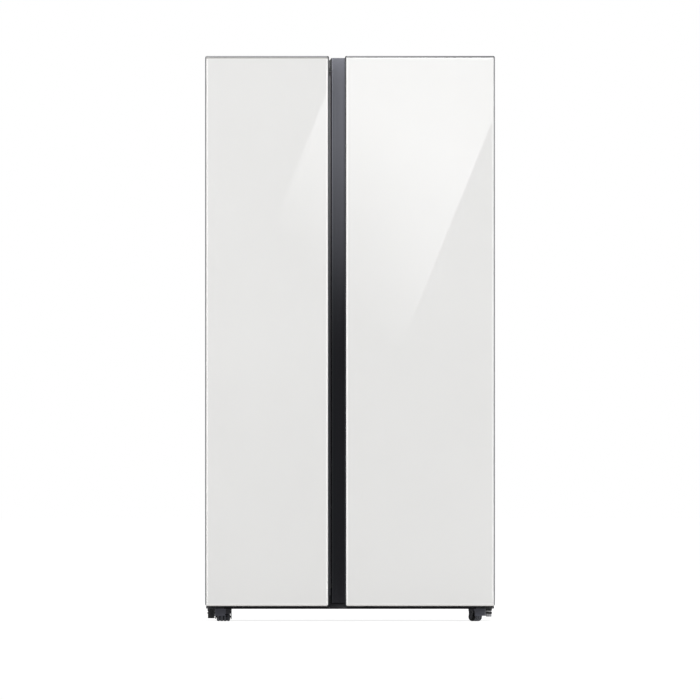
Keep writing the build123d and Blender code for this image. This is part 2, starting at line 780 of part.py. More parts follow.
# Lower hinges: bracket on the front rail with a pin up into the door and a stepped guard before the caster
lower_pin_top = body_bottom + hinge_pin_length
leg_y = cabinet_front_y - lower_leg
for side, side_name, inner_drop in ((-1, "left", left_guard_inner_drop), (1, "right", right_guard_inner_drop)):
    axis_x = side * hinge_x
    plate_x = axis_x - side * (lower_plate_width / 2 - hinge_nose)
    with BuildPart() as lower_hinge:
        with BuildSketch(Plane.XY.offset(cabinet_bottom)):
            with Locations((axis_x, hinge_y)):
                Circle(hinge_nose)
            with Locations((axis_x, (hinge_y + cabinet_front_y) / 2)):
                Rectangle(2 * hinge_nose, cabinet_front_y - hinge_y)
            with Locations((plate_x, (hinge_y + hinge_nose + cabinet_front_y) / 2)):
                Rectangle(lower_plate_width, cabinet_front_y - hinge_y - hinge_nose)
        extrude(amount=lower_plate)
        block(plate_x - lower_plate_width / 2, plate_x + lower_plate_width / 2, leg_y, cabinet_front_y,
              cabinet_bottom, cabinet_bottom + lower_leg_height)
        guard_steps = ((-guard_step, guard_out, guard_drop), (-guard_in, -guard_step, inner_drop))
        for near, far, drop in guard_steps:
            block(side * (caster_x + near), side * (caster_x + far), leg_y, cabinet_front_y,
                  cabinet_bottom - drop, cabinet_bottom)
        post(axis_x, hinge_y, cabinet_bottom, lower_pin_top, hinge_pin)
        for dx in (-1, 1):
            with Locations((plate_x + dx * screw_pitch / 2, leg_y + lower_leg / 2,
                            cabinet_bottom + lower_screw_rise)):
                Cylinder(screw_shank / 2 + slip / 2, lower_leg * 2, rotation=(90, 0, 0), mode=Mode.SUBTRACT)
    save(lower_hinge, f"{side_name}_lower_hinge")

# Screws that hold the upper hinge plates down on the cabinet
with BuildPart() as hinge_screws:
    for side in (-1, 1):
        plate_x = side * hinge_x - side * (upper_plate_width / 2 - hinge_nose)
        for row in range(screw_row_count):
            screw_y = cabinet_front_y + screw_first + row * screw_pitch
            head_z = cabinet_top + hinge_plate
            post(plate_x, screw_y, head_z, head_z + screw_head_height, screw_head)
            post(plate_x, screw_y, cabinet_top, head_z, screw_shank - slip)
save(hinge_screws, "hinge_screws")

# Caps over the upper hinges, drawn from the hinge axis: inward across, forward along
cover_reach = cabinet_front_y + cover_back - hinge_y
with BuildPart() as hinge_covers:
    for side in (-1, 1):
        outline = [
            (-cover_side, -cover_reach),
            (-cover_side, cover_nose - cover_nose_chamfer),
            (-cover_side + cover_nose_outer, cover_nose),
            (cover_width - cover_side - cover_nose_chamfer, cover_nose),
            (cover_width - cover_side, cover_nose - cover_nose_chamfer),
            (cover_width - cover_side, -cover_reach),
        ]
        corners = [(side * (hinge_x - across), hinge_y - along) for across, along in outline]
        with BuildSketch(Plane.XY.offset(cabinet_top + seat)):
            with BuildLine():
                Polyline(*corners, close=True)
            make_face()
        extrude(amount=cover_height - seat)
        with BuildSketch(Plane.XY.offset(cabinet_top)):
            with BuildLine():
                Polyline(*corners, close=True)
            make_face()
            offset(amount=-cover_wall, mode=Mode.REPLACE)
        extrude(amount=cover_height - cover_wall, mode=Mode.SUBTRACT)
    fillet(hinge_covers.edges().group_by(Axis.Z)[-1], cover_wall / 2)
save(hinge_covers, "hinge_covers")

# Height adjusters under the lower hinges: ridged foot with a flange nut and a lock nut
adjuster_sizes = (
    (-1, left_adjuster_foot, left_adjuster_length),
    (1, right_adjuster_foot, right_adjuster_length),
)
with BuildPart() as hinge_adjusters:
    for side, foot, length in adjuster_sizes:
        axis_x = side * hinge_x
        foot_bottom = cabinet_bottom - length
        post(axis_x, hinge_y, foot_bottom, cabinet_bottom, foot)
        last_ridge = cabinet_bottom - adjuster_ridge
        for ridge_z in spread(foot_bottom + adjuster_tip, last_ridge, adjuster_ridge_count):
            post(axis_x, hinge_y, ridge_z, ridge_z + adjuster_ridge / 2, foot + adjuster_ridge)
        for nut_top in (cabinet_bottom, cabinet_bottom - adjuster_nut_pitch):
            with BuildSketch(Plane.XY.offset(nut_top)):
                with Locations((axis_x, hinge_y)):
                    RegularPolygon((foot + adjuster_nut_rim) / 2, 6)
            extrude(amount=-adjuster_nut_height)
save(hinge_adjusters, "hinge_adjusters")

# Front casters: a fork that swivels under the base and a grooved roller in two halves on its axle.
# Each is drawn about its swivel axis, with t running outward across it.
for side, side_name, yaw in ((-1, "left", left_caster_angle), (1, "right", right_caster_angle)):
    caster_plane = Plane((side * caster_x, caster_y, 0)).rotated((0, 0, yaw))
    fork_top = cabinet_bottom - caster_slip
    arm_in = wheel_t - wheel_width / 2 - wheel_side_gap
    arm_out = wheel_t + wheel_width / 2 + wheel_side_gap
    wheel_z = wheel_outer / 2
    with BuildPart(caster_plane) as caster_fork:
        block(side * (arm_in - fork_arm), side * (arm_out + fork_arm), -fork_front, fork_back,
              fork_top - fork_roof, fork_top)
        for t0, t1 in ((arm_in - fork_arm, arm_in), (arm_out, arm_out + fork_arm)):
            block(side * t0, side * t1, wheel_trail - fork_arm_width / 2, wheel_trail + fork_arm_width / 2,
                  wheel_z, fork_top)
            with Locations((side * (t0 + t1) / 2, wheel_trail, wheel_z)):
                Cylinder(fork_arm_width / 2, fork_arm, rotation=(0, 90, 0))
        with Locations((side * (arm_in + arm_out) / 2, wheel_trail, wheel_z)):
            Cylinder(wheel_axle / 2, arm_out - arm_in + 2 * fork_arm, rotation=(0, 90, 0))
        post(0, 0, fork_top, swivel_top, swivel_pin)
    save(caster_fork, f"{side_name}_caster_fork")

    with BuildPart(caster_plane) as caster_wheel:
        with Locations((side * wheel_t, wheel_trail, wheel_z)):
            Cylinder(wheel_outer / 2, wheel_width, rotation=(0, 90, 0))
        fillet(caster_wheel.edges(), wheel_round)
        for groove_t in spread(-wheel_groove_pitch, wheel_groove_pitch, wheel_groove_count):
            with Locations((side * (wheel_t + groove_t), wheel_trail, wheel_z)):
                Cylinder(wheel_outer, wheel_groove, rotation=(0, 90, 0), mode=Mode.SUBTRACT)
                Cylinder(wheel_outer / 2 - wheel_groove / 2, wheel_groove, rotation=(0, 90, 0))
        with Locations((side * wheel_t, wheel_trail, wheel_z)):
            Cylinder(wheel_axle / 2 + slip, wheel_width, rotation=(0, 90, 0), mode=Mode.SUBTRACT)
            Cylinder(wheel_outer, seat, rotation=(0, 90, 0), mode=Mode.SUBTRACT)
    save(caster_wheel, f"{side_name}_caster_wheel")

# Rear rollers, each in two halves, with their forks and axles
roller_z = roller_outer / 2
for side, side_name in ((-1, "left"), (1, "right")):
    with BuildPart() as rear_roller:
        with Locations((side * roller_x, roller_y, roller_z)):
            Cylinder(roller_outer / 2, roller_width, rotation=(0, 90, 0))
        chamfer(rear_roller.edges(), roller_groove)
        with Locations((side * roller_x, roller_y, roller_z)):
            Cylinder(roller_axle / 2 + slip, roller_width, rotation=(0, 90, 0), mode=Mode.SUBTRACT)
            Cylinder(roller_outer, seat, rotation=(0, 90, 0), mode=Mode.SUBTRACT)
    save(rear_roller, f"{side_name}_rear_roller")

with BuildPart() as roller_brackets:
    for side in (-1, 1):
        for dx in (-1, 1):
            ear_x = side * roller_x + dx * (roller_width / 2 + roller_side_gap)
            block(ear_x, ear_x + dx * roller_ear, roller_y - roller_ear_width / 2,
                  roller_y + roller_ear_width / 2, roller_z - roller_axle, cabinet_bottom)
        with Locations((side * roller_x, roller_y, roller_z)):
            Cylinder(roller_axle / 2, roller_width + 2 * (roller_side_gap + roller_ear), rotation=(0, 90, 0))
save(roller_brackets, "roller_brackets")

# Doors, drawn from the outer edge of each door: u runs inward across it, d runs back from its front face
doors = [
    ("left", left_outer, 1, left_door_width, ledge_show, left_ledge_top, left_strip_bottom, left_strip_top,
     freezer_x0, freezer_x1, freezer_bin_count),
    ("right", right_outer, -1, right_door_width, right_latch - right_ledge_x, right_ledge_top, ledge_bottom,
     right_ledge_top, fridge_x1, fridge_x0, fridge_bin_count),
]
door_height = overall_height - door_bottom
door_middle_z = door_bottom + door_height / 2
pan_front = glass_thickness + trim_web + slip
foam_back = door_thickness - door_liner_sheet
bush_sockets = ((body_bottom, body_bottom + bush_length), (body_top - bush_length, body_top))

for (side_name, outer, inward, width, ledge_reach, ledge_top, strip_bottom, strip_top,
     hinge_wall, latch_wall, bin_count) in doors:
    door_middle_x = outer + inward * width / 2
    body_u = trim_width + slip
    latch_u = width - trim_width - slip
    pocket_u = width - pocket_reach
    ledge_u = width + ledge_reach
    pin_x = outer + inward * hinge_inset
    rim_u0 = abs(hinge_wall - outer) + rim_hinge_gap
    rim_u1 = abs(latch_wall - outer) - rim_latch_gap
    rim_z0 = room_floor + rim_end_gap
    rim_z1 = room_top - rim_end_gap
    rim_middle_x = outer + inward * (rim_u0 + rim_u1) / 2
    rim_middle_z = (rim_z0 + rim_z1) / 2
    rim_across = rim_u1 - rim_u0
    rim_along = rim_z1 - rim_z0
    rim_back = cabinet_front_y + rim_reach

    # Trim frame with a web that the glass is bonded to
    with BuildPart() as door_trim:
        with BuildSketch(facing(front_y)):
            with Locations((door_middle_x, door_middle_z)):
                RectangleRounded(width, door_height, trim_corner)
        extrude(amount=-face_depth)
        for d0, d1 in ((0, glass_thickness), (glass_thickness + trim_web, face_depth)):
            block(outer + inward * trim_width, outer + inward * (width - trim_width), front_y + d0,
                  front_y + d1, door_bottom + trim_width, overall_height - trim_top, Mode.SUBTRACT)
    save(door_trim, f"{side_name}_door_trim")

    # Glass panel with bevelled front edges
    with BuildPart() as door_panel:
        block(outer + inward * (trim_width + seat), outer + inward * (width - trim_width - seat), front_y,
              front_y + glass_thickness, door_bottom + trim_width + seat, overall_height - trim_top - seat)
        glass_front = door_panel.faces().sort_by(Axis.Y)[0]
        chamfer(glass_front.edges(), length=glass_bevel_width, length2=glass_bevel_depth,
                reference=glass_front)
    save(door_panel, f"{side_name}_door_panel")

    # Steel pan around the foam, open at the back, with the grip pocket cut into its latch side
    pan_outline = [
        (body_u, pan_front),
        (latch_u, pan_front),
        (latch_u, face_depth),
        (pocket_u, face_depth),
        (pocket_u, foam_back),
        (body_u, foam_back),
    ]
    core_outline = [
        (body_u + pan_sheet, pan_front + pan_sheet),
        (latch_u - pan_sheet, pan_front + pan_sheet),
        (latch_u - pan_sheet, face_depth - pan_sheet),
        (pocket_u - pan_sheet, face_depth - pan_sheet),
        (pocket_u - pan_sheet, foam_back),
        (body_u + pan_sheet, foam_back),
    ]
    pan_corners = [(outer + inward * u, front_y + d) for u, d in pan_outline]
    core_corners = [(outer + inward * u, front_y + d) for u, d in core_outline]
    with BuildPart() as door_pan:
        with BuildSketch(Plane.XY.offset(body_bottom)):
            with BuildLine():
                Polyline(*pan_corners, close=True)
            make_face()
        extrude(amount=body_top - body_bottom)
        with BuildSketch(Plane.XY.offset(body_bottom + pan_sheet)):
            with BuildLine():
                Polyline(*core_corners, close=True)
            make_face()
        extrude(amount=body_top - body_bottom - 2 * pan_sheet, mode=Mode.SUBTRACT)
        post(pin_x, hinge_y, body_bottom, body_top, bush_outer, Mode.SUBTRACT)
    save(door_pan, f"{side_name}_door_pan")

    # Foam: a thin block behind the glass, a deep one beside the grip pocket, bars in the liner's raised rim
    core_bottom = body_bottom + pan_sheet
    core_top = body_top - pan_sheet
    core_step = front_y + face_depth - pan_sheet
    bar = rim_width - 2 * door_liner_sheet
    bar_u0 = rim_u0 + door_liner_sheet
    bar_u1 = rim_u1 - door_liner_sheet
    bar_z0 = rim_z0 + door_liner_sheet
    bar_z1 = rim_z1 - door_liner_sheet
    bar_y0 = front_y + foam_back + seat
    bar_y1 = rim_back - door_liner_sheet
    with BuildPart() as door_foam:
        block(outer + inward * (body_u + pan_sheet), outer + inward * (latch_u - pan_sheet),
              front_y + pan_front + pan_sheet, core_step, core_bottom, core_top)
        block(outer + inward * (body_u + pan_sheet), outer + inward * (pocket_u - pan_sheet),
              core_step + seat, front_y + foam_back, core_bottom, core_top)
        for z0, z1 in bush_sockets:
            post(pin_x, hinge_y, z0, z1, bush_outer, Mode.SUBTRACT)
        for u in (bar_u0, bar_u1 - bar):
            block(outer + inward * u, outer + inward * (u + bar), bar_y0, bar_y1, bar_z0, bar_z1)
        for z in (bar_z0, bar_z1 - bar):
            block(outer + inward * (bar_u0 + bar + seat), outer + inward * (bar_u1 - bar - seat),
                  bar_y0, bar_y1, z, z + bar)
    save(door_foam, f"{side_name}_door_foam")

    # Inner liner with the raised rim that carries the bins
    with BuildPart() as door_liner:
        block(outer + inward * body_u, outer + inward * pocket_u, front_y + foam_back,
              front_y + door_thickness, body_bottom, body_top)
        block(outer + inward * pocket_u, outer + inward * (ledge_u - ledge_draft), front_y + foam_back,
              front_y + door_thickness, ledge_bottom, left_ledge_top)
        with BuildSketch(facing(front_y + foam_back)):
            with Locations((rim_middle_x, rim_middle_z)):
                Rectangle(rim_across, rim_along)
                Rectangle(rim_across - 2 * rim_width, rim_along - 2 * rim_width, mode=Mode.SUBTRACT)
        extrude(amount=front_y + foam_back - rim_back)
        with BuildSketch(facing(front_y + foam_back)):
            with Locations((rim_middle_x, rim_middle_z)):
                Rectangle(rim_across - 2 * door_liner_sheet, rim_along - 2 * door_liner_sheet)
                Rectangle(rim_across - 2 * rim_width + 2 * door_liner_sheet,
                          rim_along - 2 * rim_width + 2 * door_liner_sheet, mode=Mode.SUBTRACT)
        extrude(amount=front_y + foam_back - rim_back + door_liner_sheet, mode=Mode.SUBTRACT)
    save(door_liner, f"{side_name}_door_liner")

    # Seal around the compartment opening
    seal_u0 = gasket_hinge_inset
    seal_u1 = abs(mullion_x - outer) - gasket_mullion_gap
    seal_z0 = room_floor - gasket_sill - gasket_width
    seal_z1 = room_top + gasket_sill + gasket_width
    with BuildPart() as door_gasket:
        with BuildSketch(facing(front_y + door_thickness)):
            with Locations((outer + inward * (seal_u0 + seal_u1) / 2, (seal_z0 + seal_z1) / 2)):
                Rectangle(seal_u1 - seal_u0, seal_z1 - seal_z0)
                Rectangle(seal_u1 - seal_u0 - 2 * gasket_width, seal_z1 - seal_z0 - 2 * gasket_width,
                          mode=Mode.SUBTRACT)
        extrude(amount=-gasket_depth)
    save(door_gasket, f"{side_name}_door_gasket")

    # Grip ledge behind the door edge, with its end pieces
    ledge_front = grip_floor_depth + grip_strip
    ledge_outline = [
        (pocket_u, ledge_front),
        (ledge_u, ledge_front),
        (ledge_u - ledge_draft, foam_back),
        (pocket_u, foam_back),
    ]
    ledge_corners = [(outer + inward * u, front_y + d) for u, d in ledge_outline]
    strip_outline = [
        (pocket_u, face_depth),
        (pocket_u + grip_strip, face_depth),
        (pocket_u + grip_strip, grip_floor_depth),
        (ledge_u, grip_floor_depth),
        (ledge_u, ledge_front),
        (pocket_u, ledge_front),
    ]
    strip_corners = [(outer + inward * u, front_y + d) for u, d in strip_outline]
    with BuildPart() as handle_base:
        with BuildSketch(Plane.XY.offset(ledge_bottom)):
            with BuildLine():
                Polyline(*ledge_corners, close=True)
            make_face()
        extrude(amount=ledge_top - ledge_bottom)
        for z0, z1 in ((ledge_bottom, strip_bottom - cap_seam), (strip_top + cap_seam, ledge_top)):
            if z1 > z0:
                block(outer + inward * pocket_u, outer + inward * ledge_u, front_y + grip_floor_depth,
                      front_y + ledge_front, z0, z1)
                block(outer + inward * pocket_u, outer + inward * (pocket_u + grip_strip),
                      front_y + face_depth, front_y + grip_floor_depth - seat, z0, z1)
        if ledge_top > left_ledge_top:
            shoulder_x = left_latch + base_tab_margin
            cap_side_x = right_ledge_x - seat
            cap_front_y = front_y + ledge_front
            cap_draft = ledge_draft * grip_cap_depth / (foam_back - ledge_front)
            cap_plan = [
                (shoulder_x, cap_front_y),
                (cap_side_x, cap_front_y),
                (cap_side_x + cap_draft, cap_front_y + grip_cap_depth),
                (shoulder_x, cap_front_y + grip_cap_depth),
            ]
            with BuildSketch(Plane.XY.offset(grip_cap_bottom)):
                with BuildLine():
                    Polyline(*cap_plan, close=True)
                make_face()
            extrude(amount=ledge_top - grip_cap_bottom)
            slope_corners = [
                (shoulder_x, grip_cap_shoulder),
                (shoulder_x, ledge_top),
                (cap_side_x, ledge_top),
            ]
            with BuildSketch(facing(cap_front_y)):
                with BuildLine():
                    Polyline(*slope_corners, close=True)
                make_face()
            extrude(amount=-grip_cap_depth, mode=Mode.SUBTRACT)
    save(handle_base, f"{side_name}_handle_base")

    # Brushed strip that lines the grip pocket and the front of the ledge
    with BuildPart() as handle_strip:
        with BuildSketch(Plane.XY.offset(strip_bottom)):
            with BuildLine():
                Polyline(*strip_corners, close=True)
            make_face()
        extrude(amount=strip_top - strip_bottom)
    save(handle_strip, f"{side_name}_handle_strip")

    # Bushes that the hinge pins turn in
    with BuildPart() as door_bushes:
        for z0, z1 in bush_sockets:
            post(pin_x, hinge_y, z0, z1, bush_outer - seat)
            post(pin_x, hinge_y, z0, z1, hinge_pin + 2 * slip, Mode.SUBTRACT)
    save(door_bushes, f"{side_name}_door_bushes")

    # Bins between the rims
    bin_u0 = rim_u0 + rim_width + seat
    bin_u1 = rim_u1 - rim_width - seat
    bin_pitch = (rim_along - 2 * rim_width - bin_first_gap) / bin_count
    with BuildPart() as door_bins:
        for i in range(bin_count):
            bin_z = rim_z0 + rim_width + bin_first_gap + i * bin_pitch
            with BuildSketch(Plane.XY.offset(bin_z)):
                with Locations((outer + inward * (bin_u0 + bin_u1) / 2,
                                (front_y + door_thickness + seat + cabinet_front_y + bin_reach) / 2)):
                    Rectangle(bin_u1 - bin_u0, cabinet_front_y + bin_reach - front_y - door_thickness - seat)
                fillet(vertices().group_by(Axis.Y)[-1], bin_corner)
            extrude(amount=bin_height)
            with BuildSketch(Plane.XY.offset(bin_z + bin_wall)):
                with Locations((outer + inward * (bin_u0 + bin_u1) / 2,
                                (front_y + door_thickness + seat + cabinet_front_y + bin_reach) / 2)):
                    Rectangle(bin_u1 - bin_u0 - 2 * bin_wall,
                              cabinet_front_y + bin_reach - front_y - door_thickness - seat - 2 * bin_wall)
                fillet(vertices().group_by(Axis.Y)[-1], bin_corner - bin_wall)
            extrude(amount=bin_height, mode=Mode.SUBTRACT)
    save(door_bins, f"{side_name}_door_bins")
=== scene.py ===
"""Looks for the side by side refrigerator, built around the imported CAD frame.

Metres, in the frame of the CAD: X to the viewer's right, Y from the front to the back, Z up from the floor.
Colours are linear red, green and blue.
"""
import json
import math
import bmesh
import bpy
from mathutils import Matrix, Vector


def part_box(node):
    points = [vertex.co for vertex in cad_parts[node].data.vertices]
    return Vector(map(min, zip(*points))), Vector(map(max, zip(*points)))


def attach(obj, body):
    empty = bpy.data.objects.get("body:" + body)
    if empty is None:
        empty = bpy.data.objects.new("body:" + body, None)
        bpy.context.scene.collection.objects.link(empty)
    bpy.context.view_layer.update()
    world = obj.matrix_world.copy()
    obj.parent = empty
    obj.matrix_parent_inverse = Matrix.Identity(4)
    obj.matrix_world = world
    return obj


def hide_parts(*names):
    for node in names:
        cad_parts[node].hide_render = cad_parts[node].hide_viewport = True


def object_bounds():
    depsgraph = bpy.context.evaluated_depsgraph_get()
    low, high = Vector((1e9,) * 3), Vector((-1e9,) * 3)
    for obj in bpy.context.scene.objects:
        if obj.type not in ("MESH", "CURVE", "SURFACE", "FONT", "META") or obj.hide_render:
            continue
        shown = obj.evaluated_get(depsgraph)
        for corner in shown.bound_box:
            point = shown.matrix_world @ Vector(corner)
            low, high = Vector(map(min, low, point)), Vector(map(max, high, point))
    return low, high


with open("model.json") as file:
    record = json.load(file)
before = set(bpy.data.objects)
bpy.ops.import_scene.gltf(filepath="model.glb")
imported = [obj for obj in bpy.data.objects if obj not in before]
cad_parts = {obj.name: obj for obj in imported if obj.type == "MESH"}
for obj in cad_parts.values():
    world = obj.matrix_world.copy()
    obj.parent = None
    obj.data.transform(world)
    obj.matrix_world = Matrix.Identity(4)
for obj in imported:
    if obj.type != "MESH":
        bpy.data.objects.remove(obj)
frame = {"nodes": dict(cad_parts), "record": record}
cad_box = [list(corner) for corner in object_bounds()]
nodes = frame["nodes"]
scene = bpy.context.scene
front_y = cad_box[0][1]
mm = 0.001

# Camera: straight on from far away, so that the front plane fills the photograph's frame
camera_distance = 100.0
view_width = 2.2030
view_centre_z = 0.8546
sensor = 36.0
near_clip = 1.0
far_clip = 260.0
camera_data = bpy.data.cameras.new("camera")
camera_data.sensor_width = sensor
camera_data.lens = sensor * camera_distance / view_width
camera_data.clip_start = near_clip
camera_data.clip_end = far_clip
camera = bpy.data.objects.new("camera", camera_data)
camera.location = (0.0, front_y - camera_distance, view_centre_z)
camera.rotation_euler = (math.radians(90), 0.0, 0.0)
scene.collection.objects.link(camera)
scene.camera = camera


# Small helpers for node trees

def add(tree, kind, **values):
    """New node with its properties and input values set."""
    node = tree.nodes.new(kind)
    for key, value in values.items():
        if hasattr(node, key):
            setattr(node, key, value)
        else:
            node.inputs[key].default_value = value
    return node


def join(tree, source, target):
    """Link one socket to another."""
    tree.links.new(source, target)


def dress(tree, shader, inputs):
    """Set each named input of a shader, by a link or by a value."""
    for name, value in inputs.items():
        if isinstance(value, bpy.types.NodeSocket):
            join(tree, value, shader.inputs[name])
        else:
            shader.inputs[name].default_value = value


def maths(tree, operation, *values, clamp=False):
    """Result of a sum on sockets and numbers."""
    node = add(tree, "ShaderNodeMath", operation=operation, use_clamp=clamp)
    for socket, value in zip(node.inputs, values):
        if isinstance(value, float):
            socket.default_value = value
        else:
            join(tree, value, socket)
    return node.outputs[0]


def place(tree, stretch=(1.0, 1.0, 1.0)):
    """Position on the object, stretched along each axis."""
    coordinate = add(tree, "ShaderNodeTexCoord")
    mapping = add(tree, "ShaderNodeMapping", Scale=stretch)
    join(tree, coordinate.outputs["Object"], mapping.inputs["Vector"])
    return mapping.outputs["Vector"]


def axes_of(tree):
    """X, Y and Z of the position on the object."""
    split = add(tree, "ShaderNodeSeparateXYZ")
    join(tree, place(tree), split.inputs["Vector"])
    return split.outputs


def off_middle(tree, value, middle):
    """Distance of a value from a middle."""
    return maths(tree, "ABSOLUTE", maths(tree, "SUBTRACT", value, middle))


def noise(tree, scale, detail=3.0, stretch=(1.0, 1.0, 1.0)):
    """Noise value between 0 and 1."""
    node = add(tree, "ShaderNodeTexNoise", Scale=scale, Detail=detail)
    join(tree, place(tree, stretch), node.inputs["Vector"])
    return node.outputs["Fac"]


def span(tree, value, low, high, start=0.3, end=0.7, kind="LINEAR"):
    """Map a value from start..end, or from a noise's usual range, to low..high."""
    node = add(tree, "ShaderNodeMapRange", interpolation_type=kind)
    node.inputs["From Min"].default_value = start
    node.inputs["From Max"].default_value = end
    node.inputs["To Min"].default_value = low
    node.inputs["To Max"].default_value = high
    join(tree, value, node.inputs["Value"])
    return node.outputs["Result"]


def share(tree, value):
    """Noise value stretched from its usual range to 0..1."""
    return span(tree, value, 0.0, 1.0)


def rise(tree, value, start, end):
    """Mask that goes from 0 at start to 1 at end."""
    return span(tree, value, 0.0, 1.0, start, end)


def fall(tree, value, start, end):
    """Mask that goes from 1 at start to 0 at end."""
    return span(tree, value, 1.0, 0.0, start, end)


def blend(tree, factor, first, second):
    """Colour between two colours, each a tuple or a socket."""
    node = add(tree, "ShaderNodeMix", data_type="RGBA")
    inputs = [s for s in node.inputs if s.enabled]
    join(tree, factor, inputs[0])
    for socket, colour in ((inputs[1], first), (inputs[2], second)):
        if isinstance(colour, tuple):
            socket.default_value = (*colour, 1.0)
        else:
            join(tree, colour, socket)
    return [s for s in node.outputs if s.enabled][0]


def bump(tree, height, strength, distance):
    """Normal bent by a height value."""
    node = add(tree, "ShaderNodeBump", Strength=strength, Distance=distance)
    join(tree, height, node.inputs["Height"])
    return node.outputs["Normal"]


def fine_grain(tree, scale, strength, depth, stretch=(1.0, 1.0, 1.0)):
    """Normal bent by a fine noise."""
    return bump(tree, noise(tree, scale, detail=2.0, stretch=stretch), strength, depth)


def start(name):
    """New node material with its tree and its shader."""
    material = bpy.data.materials.new(name)
    material.use_nodes = True
    return material, material.node_tree, material.node_tree.nodes["Principled BSDF"]


# Plain finishes: moulded, painted or metal surfaces

def finish_of(name, colour, shade, roughness, spread, patch, grain, depth, metallic=0.0,
              stretch=(1.0, 1.0, 1.0), ior=1.5):
    """Patchy colour, uneven gloss and a fine grain.

    The colour strays by shade and the roughness by spread. Patch and grain are noise scales, and depth is
    the height of the grain.
    """
    gloss_ratio = 3.0
    material, tree, shader = start(name)
    darker = tuple(c * (1.0 - shade) for c in colour)
    lighter = tuple(min(1.0, c * (1.0 + shade)) for c in colour)
    patches = noise(tree, patch, detail=4.0, stretch=stretch)
    gloss = noise(tree, gloss_ratio * patch, stretch=stretch)
    dress(tree, shader, {"Base Color": blend(tree, share(tree, patches), darker, lighter),
                         "Roughness": span(tree, gloss, roughness - spread, roughness + spread),
                         "Normal": fine_grain(tree, grain, strength=0.5, depth=depth, stretch=stretch),
                         "Metallic": metallic,
                         "IOR": ior})
    return material


finishes = {
    "cabinet_paint": dict(colour=(0.40, 0.405, 0.415), shade=0.015, roughness=0.50, spread=0.02,
                          patch=3.0, grain=420.0, depth=0.0002),
    "liner_plastic": dict(colour=(0.80, 0.81, 0.81), shade=0.015, roughness=0.33, spread=0.06,
                          patch=4.0, grain=500.0, depth=0.00008),
    "grip_plastic": dict(colour=(0.018, 0.0185, 0.022), shade=0.12, roughness=0.24, spread=0.04,
                         patch=8.0, grain=1600.0, depth=0.00006, ior=1.35),
    "black_plastic": dict(colour=(0.014, 0.0145, 0.017), shade=0.15, roughness=0.46, spread=0.08,
                          patch=9.0, grain=1500.0, depth=0.00015),
    "wheel_plastic": dict(colour=(0.030, 0.031, 0.035), shade=0.15, roughness=0.40, spread=0.08,
                          patch=30.0, grain=1500.0, depth=0.00015),
    "base_paint": dict(colour=(0.020, 0.0205, 0.023), shade=0.15, roughness=0.44, spread=0.08,
                       patch=14.0, grain=900.0, depth=0.00012),
    "cover_paint": dict(colour=(0.13, 0.132, 0.137), shade=0.08, roughness=0.46, spread=0.06,
                        patch=9.0, grain=700.0, depth=0.00015),
    "compressor_black": dict(colour=(0.012, 0.012, 0.013), shade=0.15, roughness=0.24, spread=0.08,
                             patch=12.0, grain=260.0, depth=0.0003),
    "bracket_zinc": dict(colour=(0.80, 0.805, 0.81), shade=0.04, roughness=0.40, spread=0.08,
                         patch=40.0, grain=900.0, depth=0.0001),
    "shelf_trim": dict(colour=(0.72, 0.735, 0.75), shade=0.03, roughness=0.28, spread=0.06,
                       patch=10.0, grain=900.0, depth=0.00006),
    "fin_aluminium": dict(colour=(0.72, 0.73, 0.74), shade=0.10, roughness=0.38, spread=0.10,
                          patch=20.0, grain=700.0, depth=0.00012, metallic=1.0, stretch=(1.0, 1.0, 0.2)),
    "fork_steel": dict(colour=(0.040, 0.041, 0.048), shade=0.15, roughness=0.42, spread=0.07,
                       patch=24.0, grain=1100.0, depth=0.0001, ior=1.35),
    "seal_rubber": dict(colour=(0.36, 0.365, 0.37), shade=0.06, roughness=0.55, spread=0.07,
                        patch=14.0, grain=1300.0, depth=0.0002),
    "screw_steel": dict(colour=(0.50, 0.505, 0.515), shade=0.12, roughness=0.34, spread=0.08,
                        patch=160.0, grain=1400.0, depth=0.00006, metallic=1.0),
}
looks = {name: finish_of(name, **values) for name, values in finishes.items()}


# Looks with more to them, which take their places from the frame
left_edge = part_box("left_door_trim")[1].x
right_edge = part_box("right_door_trim")[0].x
channel_margin = 0.005
channel_x = (left_edge + right_edge) / 2
channel_half = (right_edge - left_edge) / 2 + channel_margin
left_glass_low, left_glass_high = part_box("left_door_panel")
right_glass_low, right_glass_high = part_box("right_door_panel")
bevel_width = 0.005
bevel_drop = 0.0017
bevel_middle = 0.0023
thin_blend = 0.0003


